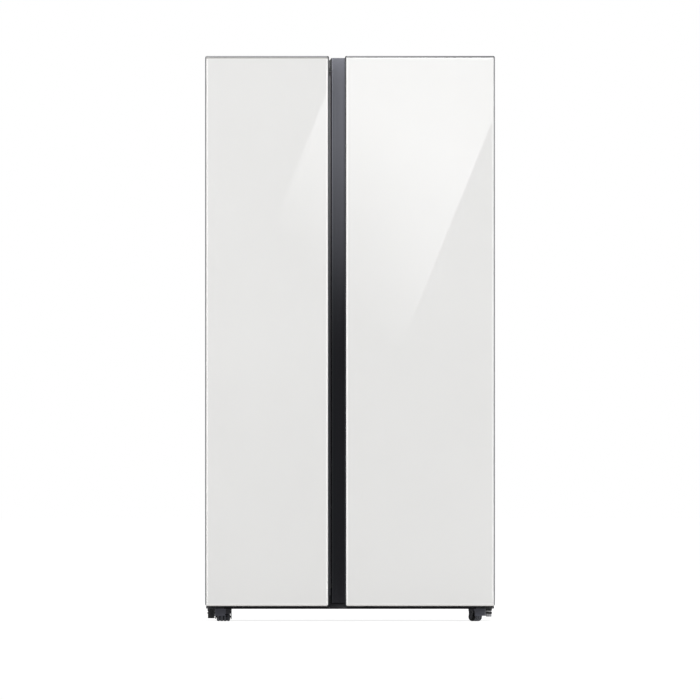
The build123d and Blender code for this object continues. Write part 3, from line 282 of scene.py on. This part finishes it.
def back_painted_glass():
    """Clear glass over white paint, with painted light on the lower bevel, a painted dark reflection on the
    top bevel that is darker on the left door, and a painted shade line at the right door's inner edge.
    """
    paint_dim, paint_bright = (0.765, 0.762, 0.752), (0.785, 0.782, 0.772)
    # Painted light and shade: a brighter lower bevel, a top bevel band painted dark as a reflection (darker
    # on the left door), and a dark line standing in for the shade at the right door's inner edge.
    lit_foot_tone = (0.87, 0.868, 0.86)
    left_head_shading_tone, right_head_shading_tone = (0.50, 0.49, 0.475), (0.74, 0.74, 0.73)
    shade_line_tone = (0.06, 0.06, 0.065)
    shade_line_half = 0.00115
    foot_blend = 0.0002
    head_blend = 0.4 * bevel_width
    foot_z = left_glass_low.z + bevel_width
    head_z = left_glass_high.z - bevel_width
    material, tree, shader = start("back_painted_glass")
    axes = axes_of(tree)
    paint = blend(tree, share(tree, noise(tree, scale=2.2)), paint_dim, paint_bright)
    # Painted light: the lower bevel is painted brighter than the rest of the paint.
    paint = blend(tree, fall(tree, axes["Z"], foot_z - foot_blend, foot_z), paint, lit_foot_tone)
    # Painted reflection: the top bevel band is painted dark, darker on the left door than on the right.
    head_shading_tone = blend(tree, rise(tree, axes["X"], left_edge, right_edge), left_head_shading_tone, right_head_shading_tone)
    paint = blend(tree, rise(tree, axes["Z"], head_z, head_z + head_blend), paint, head_shading_tone)
    # Painted shade: a dark line along the right door's inner glass edge, beside the grip channel.
    line = maths(tree, "COMPARE", axes["X"], right_glass_low.x, shade_line_half)
    wiped = noise(tree, scale=9.0, detail=4.0, stretch=(1.0, 1.0, 0.35))
    ripple = noise(tree, scale=14.0, detail=1.0)
    dress(tree, shader, {"Base Color": blend(tree, line, paint, shade_line_tone),
                         "Roughness": span(tree, wiped, low=0.004, high=0.014),
                         "Normal": bump(tree, ripple, strength=0.02, distance=0.0004),
                         "IOR": 1.5})
    return material


def anodised_trim():
    """Satin metal, with painted shade where it faces the grip channel, painted light along the foot, and
    painted light along the head that is brighter at the left.
    """
    pale_dim, pale_bright = (0.165, 0.168, 0.178), (0.195, 0.198, 0.208)
    # Painted light: the foot and head tones are brighter than the trim, the head's brightest at the left.
    # The dark tones are painted shade by the grip channel.
    lit_foot_dim, lit_foot_bright = (0.58, 0.57, 0.555), (0.66, 0.65, 0.635)
    left_head_shading_tone, right_head_shading_tone = (0.350, 0.352, 0.360), (0.145, 0.148, 0.156)
    channel_shade_dim, channel_shade_bright = (0.022, 0.0228, 0.027), (0.030, 0.031, 0.036)
    channel_blend = 0.001
    foot_z = left_glass_low.z
    head_z = left_glass_high.z
    material, tree, shader = start("anodised_trim")
    axes = axes_of(tree)
    brushed = noise(tree, scale=900.0, detail=2.0, stretch=(1.0, 1.0, 0.05))
    streaks = share(tree, brushed)
    tone = blend(tree, streaks, pale_dim, pale_bright)
    lit_foot_tone = blend(tree, streaks, lit_foot_dim, lit_foot_bright)
    # Painted light along the foot of the trim.
    tone = blend(tree, fall(tree, axes["Z"], foot_z, foot_z + thin_blend), tone, lit_foot_tone)
    # Painted light along the head, fading from the left door to the right.
    across = rise(tree, axes["X"], left_glass_low.x, right_glass_high.x)
    head_shading_tone = blend(tree, across, left_head_shading_tone, right_head_shading_tone)
    tone = blend(tree, rise(tree, axes["Z"], head_z - thin_blend, head_z), tone, head_shading_tone)
    # Painted shade where the trim faces the grip channel.
    from_channel = off_middle(tree, axes["X"], channel_x)
    outside = rise(tree, from_channel, channel_half, channel_half + channel_blend)
    dark = blend(tree, streaks, channel_shade_dim, channel_shade_bright)
    uneven = noise(tree, scale=18.0, stretch=(1.0, 1.0, 0.2))
    dress(tree, shader, {"Base Color": blend(tree, outside, dark, tone),
                         "Roughness": span(tree, uneven, low=0.40, high=0.52),
                         "Normal": bump(tree, brushed, strength=0.4, distance=0.00006)})
    return material


def hinge_steel():
    """Black plates with grey guards below, dark towards the casters, with a painted highlight along the
    guards' outer edge.
    """
    plate_dim, plate_bright = (0.008, 0.0083, 0.010), (0.013, 0.0134, 0.016)
    guard_dim, guard_bright = (0.128, 0.132, 0.158), (0.155, 0.159, 0.190)
    inner_tone = (0.040, 0.041, 0.048)
    # Painted highlight: the pale tone along the guards' outer edge.
    edge_highlight_tone = (0.27, 0.275, 0.30)
    guard_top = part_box("cabinet_wrap")[0].z
    inner_x = 0.391
    edge_highlight_x = 0.4245
    half_blend = 0.0005
    material, tree, shader = start("hinge_steel")
    axes = axes_of(tree)
    worn = share(tree, noise(tree, scale=24.0, detail=4.0))
    plate = blend(tree, worn, plate_dim, plate_bright)
    guard = blend(tree, worn, guard_dim, guard_bright)
    outward = maths(tree, "ABSOLUTE", axes["X"])
    past_inner = rise(tree, outward, inner_x - half_blend, inner_x + half_blend)
    guard = blend(tree, past_inner, inner_tone, guard)
    # Painted highlight along the guards' outer edge.
    edge_highlight = rise(tree, outward, edge_highlight_x - half_blend, edge_highlight_x + half_blend)
    guard = blend(tree, edge_highlight, guard, edge_highlight_tone)
    above = rise(tree, axes["Z"], guard_top, guard_top + thin_blend)
    dress(tree, shader, {"Base Color": blend(tree, above, guard, plate),
                         "Roughness": span(tree, noise(tree, scale=72.0), low=0.34, high=0.48),
                         "Normal": fine_grain(tree, scale=1100.0, strength=0.5, depth=0.0001),
                         "IOR": 1.35})
    return material


def base_plastic():
    """Matt black, with painted light where the base cover shows in the grip channel between the doors."""
    matt_dim, matt_bright = (0.007, 0.0073, 0.009), (0.009, 0.0094, 0.0115)
    # Painted light: the base cover is painted lighter in the grip channel than under the doors.
    lit_channel_dim, lit_channel_bright = (0.034, 0.0345, 0.038), (0.044, 0.0445, 0.048)
    material, tree, shader = start("base_plastic")
    in_channel = maths(tree, "COMPARE", axes_of(tree)["X"], channel_x, channel_half)
    mottle = share(tree, noise(tree, scale=9.0, detail=4.0))
    matt = blend(tree, mottle, matt_dim, matt_bright)
    lit_channel = blend(tree, mottle, lit_channel_dim, lit_channel_bright)
    dress(tree, shader, {"Base Color": blend(tree, in_channel, matt, lit_channel),
                         "Roughness": span(tree, noise(tree, scale=27.0), low=0.54, high=0.70),
                         "Normal": fine_grain(tree, scale=1500.0, strength=0.5, depth=0.00015),
                         "IOR": 1.25})
    return material


def roller_plastic(name, wheel, yaw):
    """Caster roller: scuffed ribs, with painted shade in the grooves. Yaw is the angle of its axle to X."""
    rib_dim, rib_bright = (0.112, 0.116, 0.134), (0.162, 0.167, 0.192)
    # Painted shade: the grooves between the ribs are painted near black.
    groove_shade_tone = (0.003, 0.003, 0.0035)
    groove_radius = 0.0130
    rib_radius = 0.0138
    low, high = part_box(wheel)
    material, tree, shader = start(name)
    from_axle = add(tree, "ShaderNodeVectorMath", operation="SUBTRACT")
    from_axle.inputs[1].default_value = (low + high) / 2
    join(tree, place(tree), from_axle.inputs[0])
    along = add(tree, "ShaderNodeVectorMath", operation="PROJECT")
    along.inputs[1].default_value = (math.cos(yaw), math.sin(yaw), 0.0)
    join(tree, from_axle.outputs[0], along.inputs[0])
    radius = add(tree, "ShaderNodeVectorMath", operation="DISTANCE")
    join(tree, from_axle.outputs[0], radius.inputs[0])
    join(tree, along.outputs[0], radius.inputs[1])
    scuffs = share(tree, noise(tree, scale=90.0, detail=4.0))
    ribs = blend(tree, scuffs, rib_dim, rib_bright)
    out = rise(tree, radius.outputs["Value"], groove_radius, rib_radius)
    # Painted shade in the grooves, inside the ribs' radius.
    dress(tree, shader, {"Base Color": blend(tree, out, groove_shade_tone, ribs),
                         "Roughness": span(tree, noise(tree, scale=60.0), low=0.42, high=0.58),
                         "Normal": fine_grain(tree, scale=1500.0, strength=0.5, depth=0.00015),
                         "IOR": 1.25})
    return material


def brushed_strip(name, colour, metallic, ior, lines=()):
    """Grip strip with streaks along its height.

    Each line is an X up to which the strip's colour is multiplied by a gain.
    """
    streak_dim, streak_bright = 0.86, 1.12
    material, tree, shader = start(name)
    streaks = noise(tree, scale=700.0, stretch=(1.0, 1.0, 0.004))
    broad = noise(tree, scale=40.0, detail=2.0, stretch=(1.0, 1.0, 0.02))
    satin = blend(tree, share(tree, streaks), tuple(c * streak_dim for c in colour),
                  tuple(c * streak_bright for c in colour))
    for line_x, gain in lines:
        within = fall(tree, axes_of(tree)["X"], line_x - thin_blend, line_x)
        satin = blend(tree, within, satin, tuple(c * gain for c in colour))
    dress(tree, shader, {"Base Color": satin,
                         "Roughness": span(tree, broad, low=0.14, high=0.20),
                         "Normal": bump(tree, streaks, strength=0.12, distance=0.00005),
                         "Metallic": metallic,
                         "IOR": ior})
    return material


def galvanised_sheet():
    """Zinc coated sheet with spangle and faint stains."""
    spangle_dim, spangle_bright = (0.47, 0.48, 0.49), (0.54, 0.55, 0.56)
    stain_tone = (0.44, 0.445, 0.45)
    most_stain = 0.35
    material, tree, shader = start("galvanised_sheet")
    cells = add(tree, "ShaderNodeTexVoronoi", Scale=85.0)
    join(tree, place(tree), cells.inputs["Vector"])
    tone = add(tree, "ShaderNodeSeparateColor")
    join(tree, cells.outputs["Color"], tone.inputs["Color"])
    spangle = blend(tree, tone.outputs["Red"], spangle_dim, spangle_bright)
    stain = span(tree, noise(tree, scale=4.0, detail=4.0), 0.0, most_stain)
    cell_gloss = span(tree, tone.outputs["Green"], low=0.40, high=0.50, start=0.0, end=1.0)
    dress(tree, shader, {"Base Color": blend(tree, stain, spangle, stain_tone),
                         "Roughness": cell_gloss,
                         "Normal": bump(tree, noise(tree, scale=300.0), strength=0.3, distance=0.0001),
                         "Metallic": 0.9})
    return material


def zinc_steel():
    """Blackened on the left side, and zinc with blackened nuts on the right side."""
    black_dim, black_bright = (0.005, 0.0052, 0.006), (0.010, 0.0104, 0.012)
    zinc_dim, zinc_bright = (0.25, 0.25, 0.26), (0.36, 0.36, 0.375)
    nut_z = 0.0370
    nut_half = 0.0032
    nut_pitch = 0.010
    zinc_metallic = 0.8
    material, tree, shader = start("zinc_steel")
    axes = axes_of(tree)
    right_side = maths(tree, "GREATER_THAN", axes["X"], 0.0)
    nuts = maths(tree, "ADD", maths(tree, "COMPARE", axes["Z"], nut_z, nut_half),
                 maths(tree, "COMPARE", axes["Z"], nut_z - nut_pitch, nut_half))
    plated = maths(tree, "SUBTRACT", right_side, nuts, clamp=True)
    worn = noise(tree, scale=260.0)
    zinc = blend(tree, share(tree, worn), zinc_dim, zinc_bright)
    black = blend(tree, share(tree, worn), black_dim, black_bright)
    dress(tree, shader, {"Base Color": blend(tree, plated, black, zinc),
                         "Roughness": span(tree, worn, low=0.40, high=0.54),
                         "Normal": fine_grain(tree, scale=900.0, strength=0.3, depth=0.0001),
                         "Metallic": span(tree, plated, 0.0, zinc_metallic, 0.0, 1.0),
                         "IOR": 1.3})
    return material


def insulating_foam():
    """Foam with open cells."""
    cell_tone, wall_tone = (0.72, 0.62, 0.40), (0.82, 0.74, 0.52)
    material, tree, shader = start("insulating_foam")
    pores = add(tree, "ShaderNodeTexVoronoi", Scale=420.0)
    join(tree, place(tree), pores.inputs["Vector"])
    height = pores.outputs["Distance"]
    dress(tree, shader, {"Base Color": blend(tree, height, cell_tone, wall_tone),
                         "Roughness": span(tree, noise(tree, scale=30.0), low=0.75, high=0.9),
                         "Normal": bump(tree, height, strength=0.5, distance=0.0006)})
    return material


def clear_moulding(name, colour, tint, smooth, rough, depth):
    """See-through plastic or glass, from smooth to rough, with a faint grain."""
    material, tree, shader = start(name)
    cloud = share(tree, noise(tree, scale=5.0))
    dress(tree, shader, {"Base Color": blend(tree, cloud, colour, tint),
                         "Roughness": span(tree, noise(tree, scale=18.0), smooth, rough),
                         "Normal": fine_grain(tree, scale=220.0, strength=0.2, depth=depth),
                         "Transmission Weight": 1.0,
                         "IOR": 1.49})
    return material


def lamp_cover():
    """Ribbed diffuser, lit from behind."""
    rib_dim, rib_bright = (0.84, 0.84, 0.82), (0.90, 0.90, 0.885)
    material, tree, shader = start("lamp_cover")
    ribs = add(tree, "ShaderNodeTexWave", Scale=90.0, Distortion=0.0)
    join(tree, place(tree), ribs.inputs["Vector"])
    height = ribs.outputs["Fac"]
    dress(tree, shader, {"Base Color": blend(tree, height, rib_dim, rib_bright),
                         "Roughness": span(tree, noise(tree, scale=20.0), low=0.22, high=0.34),
                         "Normal": bump(tree, height, strength=0.6, distance=0.0012),
                         "Emission Color": (1.0, 0.97, 0.92, 1.0),
                         "Emission Strength": 10.0})
    return material


looks["back_painted_glass"] = back_painted_glass()
looks["anodised_trim"] = anodised_trim()
looks["hinge_steel"] = hinge_steel()
looks["base_plastic"] = base_plastic()
looks["galvanised_sheet"] = galvanised_sheet()
looks["zinc_steel"] = zinc_steel()
looks["insulating_foam"] = insulating_foam()
looks["lamp_cover"] = lamp_cover()

# The wide strip has a painted highlight line near its left edge, and painted shade at the edge itself by the
# seam
strip_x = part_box("right_handle_strip")[0].x
edge_shade_line, edge_shade_gain = 0.0016, 0.45
highlight_line, highlight_gain = 0.0045, 1.5
strip_lines = ((strip_x + highlight_line, highlight_gain), (strip_x + edge_shade_line, edge_shade_gain))
looks["grip_metal"] = brushed_strip("grip_metal", (0.052, 0.053, 0.060), metallic=1.0, ior=1.5,
                                    lines=strip_lines)
looks["grip_metal_edge"] = brushed_strip("grip_metal_edge", (0.053, 0.0544, 0.0648), metallic=0.0, ior=1.65)
looks["clear_plastic"] = clear_moulding("clear_plastic", (0.93, 0.955, 0.965), (0.97, 0.985, 0.99),
                                        smooth=0.05, rough=0.11, depth=0.00012)
looks["shelf_glass"] = clear_moulding("shelf_glass", (0.90, 0.955, 0.94), (0.94, 0.98, 0.965),
                                      smooth=0.015, rough=0.04, depth=0.00002)
caster_yaws = {"left": 0.0, "right": math.radians(55.0)}
for side, yaw in caster_yaws.items():
    roller_look = f"{side}_roller_plastic"
    looks[roller_look] = roller_plastic(roller_look, f"{side}_caster_wheel", yaw)

# Each node takes the look of its slot in the record, or one of its own
own_looks = {"left_handle_strip": "grip_metal_edge", "base_cover": "base_plastic", "base_tray": "base_paint",
             "machine_cover": "cover_paint", "roller_brackets": "bracket_zinc",
             "left_caster_fork": "fork_steel", "right_caster_fork": "fork_steel",
             "left_caster_wheel": "left_roller_plastic", "right_caster_wheel": "right_roller_plastic"}
for row in frame["record"]["subparts"]:
    slots = nodes[row["node"]].data.materials
    slots.clear()
    slots.append(looks[own_looks.get(row["node"], row["material_slot"])])


# Pieces that the frame lacks

def piece(name, mesh, look, sharp_angle=None):
    """New object from a finished bmesh, smooth up to the sharp angle where one is given."""
    bmesh.ops.recalc_face_normals(mesh, faces=mesh.faces)
    data = bpy.data.meshes.new(name)
    mesh.to_mesh(data)
    mesh.free()
    if sharp_angle is not None:
        for face in data.polygons:
            face.use_smooth = True
        data.set_sharp_from_angle(angle=math.radians(sharp_angle))
    data.materials.append(looks[look])
    made = bpy.data.objects.new(name, data)
    scene.collection.objects.link(made)
    return made


def bridge(mesh, first, second):
    """Faces between two closed rings of points."""
    for i in range(len(first)):
        j = (i + 1) % len(first)
        mesh.faces.new((first[i], first[j], second[j], second[i]))


# Door seals: bellows with a magnet pocket, mitred at the corners
# Each point is across the seal from its outer edge and back from the door liner, in millimetres.
seal_side = [(0.6, 0.0), (0.0, 0.8), (0.4, 2.0), (2.2, 2.8), (2.6, 3.6), (1.0, 4.8), (0.8, 5.6), (2.4, 6.6),
             (2.6, 7.4), (0.8, 8.4), (0.2, 9.4), (0.2, 12.6), (0.9, 13.5), (2.0, 13.7)]
seal_width = 12.0
seal_sharp_angle = 50
seal_profile = seal_side + [(seal_width - across, back) for across, back in reversed(seal_side)]
for side in ("left", "right"):
    low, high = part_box(f"{side}_door_gasket")
    seal_mesh = bmesh.new()
    loops = []
    for across, back in seal_profile:
        inset = across * mm
        y = low.y + back * mm
        corners = [(low.x + inset, low.z + inset), (high.x - inset, low.z + inset),
                   (high.x - inset, high.z - inset), (low.x + inset, high.z - inset)]
        loops.append([seal_mesh.verts.new((x, y, z)) for x, z in corners])
    for loop, after in zip(loops, loops[1:] + loops[:1]):
        bridge(seal_mesh, loop, after)
    seal = piece(f"{side}_door_seal", seal_mesh, "seal_rubber", seal_sharp_angle)
    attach(seal, f"{side}_door")
    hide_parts(f"{side}_door_gasket")

# Black fin on the left door's edge, a dark sheet put into the slit beside the end of the wide strip as
# painted shade
fin_thickness = 0.0013
fin_setback = 0.008
fin_depth = 0.020
fin_top_gap = 0.007
fin_round = 0.004
fin_round_middle = 0.3 * fin_round
fin_front = front_y + fin_setback
fin_back = fin_front + fin_depth
fin_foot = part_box("left_handle_base")[1].z
fin_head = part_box("right_handle_strip")[1].z - fin_top_gap
fin_outline = [(fin_front, fin_foot),
               (fin_back, fin_foot),
               (fin_back, fin_head - fin_round),
               (fin_back - fin_round_middle, fin_head - fin_round_middle),
               (fin_back - fin_round, fin_head),
               (fin_front + fin_round, fin_head),
               (fin_front + fin_round_middle, fin_head - fin_round_middle),
               (fin_front, fin_head - fin_round)]
fin_mesh = bmesh.new()
fin_sides = []
for x in (left_edge, left_edge + fin_thickness):
    fin_sides.append([fin_mesh.verts.new((x, y, z)) for y, z in fin_outline])
fin_mesh.faces.new(fin_sides[0])
fin_mesh.faces.new(fin_sides[1])
bridge(fin_mesh, fin_sides[0], fin_sides[1])
slit_shade_fin = piece("left_slit_shade_fin", fin_mesh, "black_plastic")
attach(slit_shade_fin, "left_door")

# Screws around the rear panel and the machine room cover
# Each ring of a head is its radius and its height over the seat, in millimetres.
screw_rings = [(4.6, 0.0), (4.6, 0.8), (4.1, 1.6), (2.9, 2.2), (1.5, 2.4)]
screw_sides = 16
recess_depth = 1.1
recess_rings = 2
recess_arms = 4
screw_sharp_angle = 40


def screw_head(mesh, x, y, z):
    """Domed head with a cross recess that faces backwards, its seat at the given point."""
    rings = []
    for ring, (radius, height) in enumerate(screw_rings):
        in_recess = ring >= len(screw_rings) - recess_rings
        points = []
        for step in range(screw_sides):
            angle = 2 * math.pi * step / screw_sides
            sunk = recess_depth if in_recess and step % (screw_sides // recess_arms) == 0 else 0.0
            points.append(mesh.verts.new((x + radius * mm * math.cos(angle), y + (height - sunk) * mm,
                                          z + radius * mm * math.sin(angle))))
        rings.append(points)
    for outer, inner in zip(rings, rings[1:]):
        bridge(mesh, outer, inner)
    middle = mesh.verts.new((x, y + (screw_rings[-1][1] - recess_depth) * mm, z))
    for step in range(screw_sides):
        mesh.faces.new((rings[-1][step], rings[-1][(step + 1) % screw_sides], middle))
    mesh.faces.new(rings[0])


panel_low, panel_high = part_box("back_panel")
cover_low, cover_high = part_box("machine_cover")
bead_height = 0.002
edge_gap = 0.016
rim_gap = 0.007
panel_rows = 9
cover_columns = 7
screw_mesh = bmesh.new()
for row in range(panel_rows):
    z = panel_low.z + edge_gap + (panel_high.z - panel_low.z - 2 * edge_gap) * row / (panel_rows - 1)
    for x in (panel_low.x + edge_gap, panel_high.x - edge_gap):
        screw_head(screw_mesh, x, panel_high.y - bead_height, z)
for column in range(cover_columns):
    x = cover_low.x + edge_gap + (cover_high.x - cover_low.x - 2 * edge_gap) * column / (cover_columns - 1)
    for z in (cover_low.z + rim_gap, cover_high.z - rim_gap):
        screw_head(screw_mesh, x, cover_high.y, z)
rear_screws = piece("rear_screws", screw_mesh, "screw_steel", screw_sharp_angle)
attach(rear_screws, "cabinet")


# Stage: pale floor, white surroundings, cards that only show in gloss, and soft lights
white = (1.0, 1.0, 1.0, 1.0)


def light_paths(tree):
    """1 where a camera, glossy or transmitted ray looks, otherwise 0."""
    path = add(tree, "ShaderNodeLightPath").outputs
    mirrored = maths(tree, "MAXIMUM", path["Is Camera Ray"], path["Is Glossy Ray"])
    return maths(tree, "MAXIMUM", mirrored, path["Is Transmission Ray"])


def mixed(tree, factor, first, second):
    """Shader mixed from two shaders."""
    mix = add(tree, "ShaderNodeMixShader")
    for socket, source in zip(mix.inputs, (factor, first, second)):
        join(tree, source, socket)
    return mix.outputs[0]


def quad(name, corners, material):
    """Flat four sided stage card."""
    data = bpy.data.meshes.new(name)
    data.from_pydata([Vector(c) for c in corners], [], [(0, 1, 2, 3)])
    data.materials.append(material)
    card = bpy.data.objects.new(name, data)
    scene.collection.objects.link(card)
    return card


# White surroundings, dimmer as a light on the object
ambient_level = 0.45
world = bpy.data.worlds.new("studio")
world.use_nodes = True
scene.world = world
tree = world.node_tree
tree.nodes.clear()
seen = add(tree, "ShaderNodeBackground", Color=white, Strength=1.0)
ambient = add(tree, "ShaderNodeBackground", Color=white, Strength=ambient_level)
surroundings = mixed(tree, light_paths(tree), ambient.outputs[0], seen.outputs[0])
join(tree, surroundings, add(tree, "ShaderNodeOutputWorld").inputs["Surface"])

# Floor that looks white and keeps the shadow
floor_dim, floor_bright = (0.80, 0.80, 0.80), (0.82, 0.82, 0.82)
floor_glow = 1.66
glow_share = 0.5
floor_reach = 60.0
floor_material, tree, shader = start("stage_floor")
dress(tree, shader, {"Base Color": blend(tree, noise(tree, scale=3.0, detail=2.0), floor_dim, floor_bright),
                     "Roughness": 0.9,
                     "Specular IOR Level": 0.0})
glow = add(tree, "ShaderNodeEmission", Color=white, Strength=floor_glow)
glowing = maths(tree, "MULTIPLY", light_paths(tree), glow_share)
floor_surface = mixed(tree, glowing, shader.outputs[0], glow.outputs[0])
join(tree, floor_surface, tree.nodes["Material Output"].inputs["Surface"])
quad("stage_floor", [(-floor_reach, -floor_reach, 0), (floor_reach, -floor_reach, 0),
                     (floor_reach, floor_reach, 0), (-floor_reach, floor_reach, 0)], floor_material)


def gloss_card(name, corners, level):
    """Card seen only in gloss. The level is a number, or a function that works it out on the card's tree."""
    material = bpy.data.materials.new(name)
    material.use_nodes = True
    tree = material.node_tree
    tree.nodes.clear()
    emission = add(tree, "ShaderNodeEmission", Color=white)
    dress(tree, emission, {"Strength": level(tree) if callable(level) else level})
    join(tree, emission.outputs[0], add(tree, "ShaderNodeOutputMaterial").inputs["Surface"])
    card = quad(name, corners, material)
    card.visible_camera = False
    card.visible_diffuse = False
    card.visible_transmission = False
    card.visible_volume_scatter = False
    card.visible_shadow = False
    return card


def sloping(base, slope, least, most=100.0):
    """Level that grows from a base along a slope, between limits."""
    soft_limit = 0.6

    def level(tree):
        along = add(tree, "ShaderNodeVectorMath", operation="DOT_PRODUCT")
        along.inputs[1].default_value = slope
        join(tree, place(tree), along.inputs[0])
        lifted = maths(tree, "MAXIMUM", maths(tree, "ADD", along.outputs["Value"], base), least)
        return maths(tree, "SMOOTH_MIN", lifted, most, soft_limit)
    return level


def fading(peak, middle_x, half):
    """Level that dims softly from a peak on its middle line to nothing at the sides."""
    def level(tree):
        sideways = off_middle(tree, axes_of(tree)["X"], middle_x)
        return span(tree, sideways, peak, 0.0, 0.0, half, kind="SMOOTHSTEP")
    return level


def rectangle(x_low, x_high, z_low, z_high):
    """X and Z of a rectangle's corners."""
    return [(x_low, z_low), (x_high, z_low), (x_high, z_high), (x_low, z_high)]


def upright(y, corners):
    """Corners of an upright card."""
    return [(x, y, z) for x, z in corners]


# Dark flag in front of the doors
flag_level = 0.25
flag_gap = 1.0
flag_half = 0.62
flag_top = 1.9
flag_corners = rectangle(-flag_half, flag_half, 0.0, flag_top)
gloss_card("stage_front_flag", upright(front_y - flag_gap, flag_corners), flag_level)

# The slanting gleam across both doors, its corners where they show on the glass
gleam_gap = 0.9
gleam_y = front_y - gleam_gap
gleam_scale = 1.0 + gleam_gap / camera_distance
gleam_corners = [(-0.510, 0.571), (0.042, 0.571), (0.539, 1.800), (-0.019, 1.800)]


def reflected(corners):
    """Corners of a card that the camera sees reflected at the given X and Z of the glass."""
    card_corners = []
    for x, z in corners:
        card_corners.append((x * gleam_scale, gleam_y, view_centre_z + (z - view_centre_z) * gleam_scale))
    return card_corners


gleam_level = sloping(base=-4.12, slope=(4.4, 0.0, 4.4), least=flag_level, most=3.25)
gloss_card("stage_gleam", reflected(gleam_corners), gleam_level)

# Bright card above the doors, which only the brushed strips are rough enough to catch
top_level = 11.0
top_corners = rectangle(x_low=-0.16, x_high=0.08, z_low=1.795, z_high=1.960)
gloss_card("stage_top_card", reflected(top_corners), top_level)

# Flat card high up, brighter to the right, which the upper bevels of the glass catch
upper_corners = rectangle(-flag_half, flag_half, z_low=2.43, z_high=2.50)
upper_level = sloping(base=5.3, slope=(40.0, 0.0, 0.0), least=2.3, most=8.5)
gloss_card("stage_upper_card", upright(gleam_y, upper_corners), upper_level)

# Narrow card between the gleam card and the doors, brighter to the top, which the strips catch
channel_corners = rectangle(x_low=-0.068, x_high=-0.040, z_low=0.88, z_high=1.82)
channel_level = sloping(base=-4.06, slope=(0.0, 0.0, 4.9), least=flag_level)
channel_lead = 0.01
channel_card = gloss_card("stage_channel_card", reflected(channel_corners), channel_level)
channel_card.location.y = channel_lead

# Narrow bright cards at the sides, one for each upright bevel of the glass
side_level = 6.4
side_gap = 1.15
side_top = 2.2
side_half = 0.055
side_reach = side_gap * math.tan(2 * math.atan2(bevel_drop, bevel_width))
for name, card_x in (("left_outer", left_glass_low.x + bevel_middle - side_reach),
                     ("left_inner", left_glass_high.x - bevel_middle + side_reach),
                     ("right_inner", right_glass_low.x + bevel_middle - side_reach),
                     ("right_outer", right_glass_high.x - bevel_middle + side_reach)):
    side_corners = rectangle(card_x - side_half, card_x + side_half, 0.0, side_top)
    gloss_card(f"stage_{name}_card", upright(front_y - side_gap, side_corners),
               fading(side_level, card_x, side_half))

# Large soft lamps that don't show in gloss
lamp_aim = Vector((0.0, 0.0, 0.9))


def softbox(name, place_at, width, height, power):
    """Large soft area lamp."""
    data = bpy.data.lights.new(name, "AREA")
    data.shape = "RECTANGLE"
    data.size = width
    data.size_y = height
    data.energy = power
    lamp = bpy.data.objects.new(name, data)
    lamp.location = place_at
    lamp.rotation_euler = (lamp_aim - Vector(place_at)).to_track_quat("-Z", "Y").to_euler()
    lamp.visible_glossy = False
    scene.collection.objects.link(lamp)


softbox("key_light", (-4.4, -9.5, 3.8), width=5.0, height=4.0, power=465.0)
softbox("fill_light", (6.5, -7.5, 3.2), width=4.0, height=4.0, power=225.0)
softbox("rear_light", (1.5, 5.0, 4.0), width=3.0, height=3.0, power=120.0)

scene.view_settings.view_transform = "Standard"
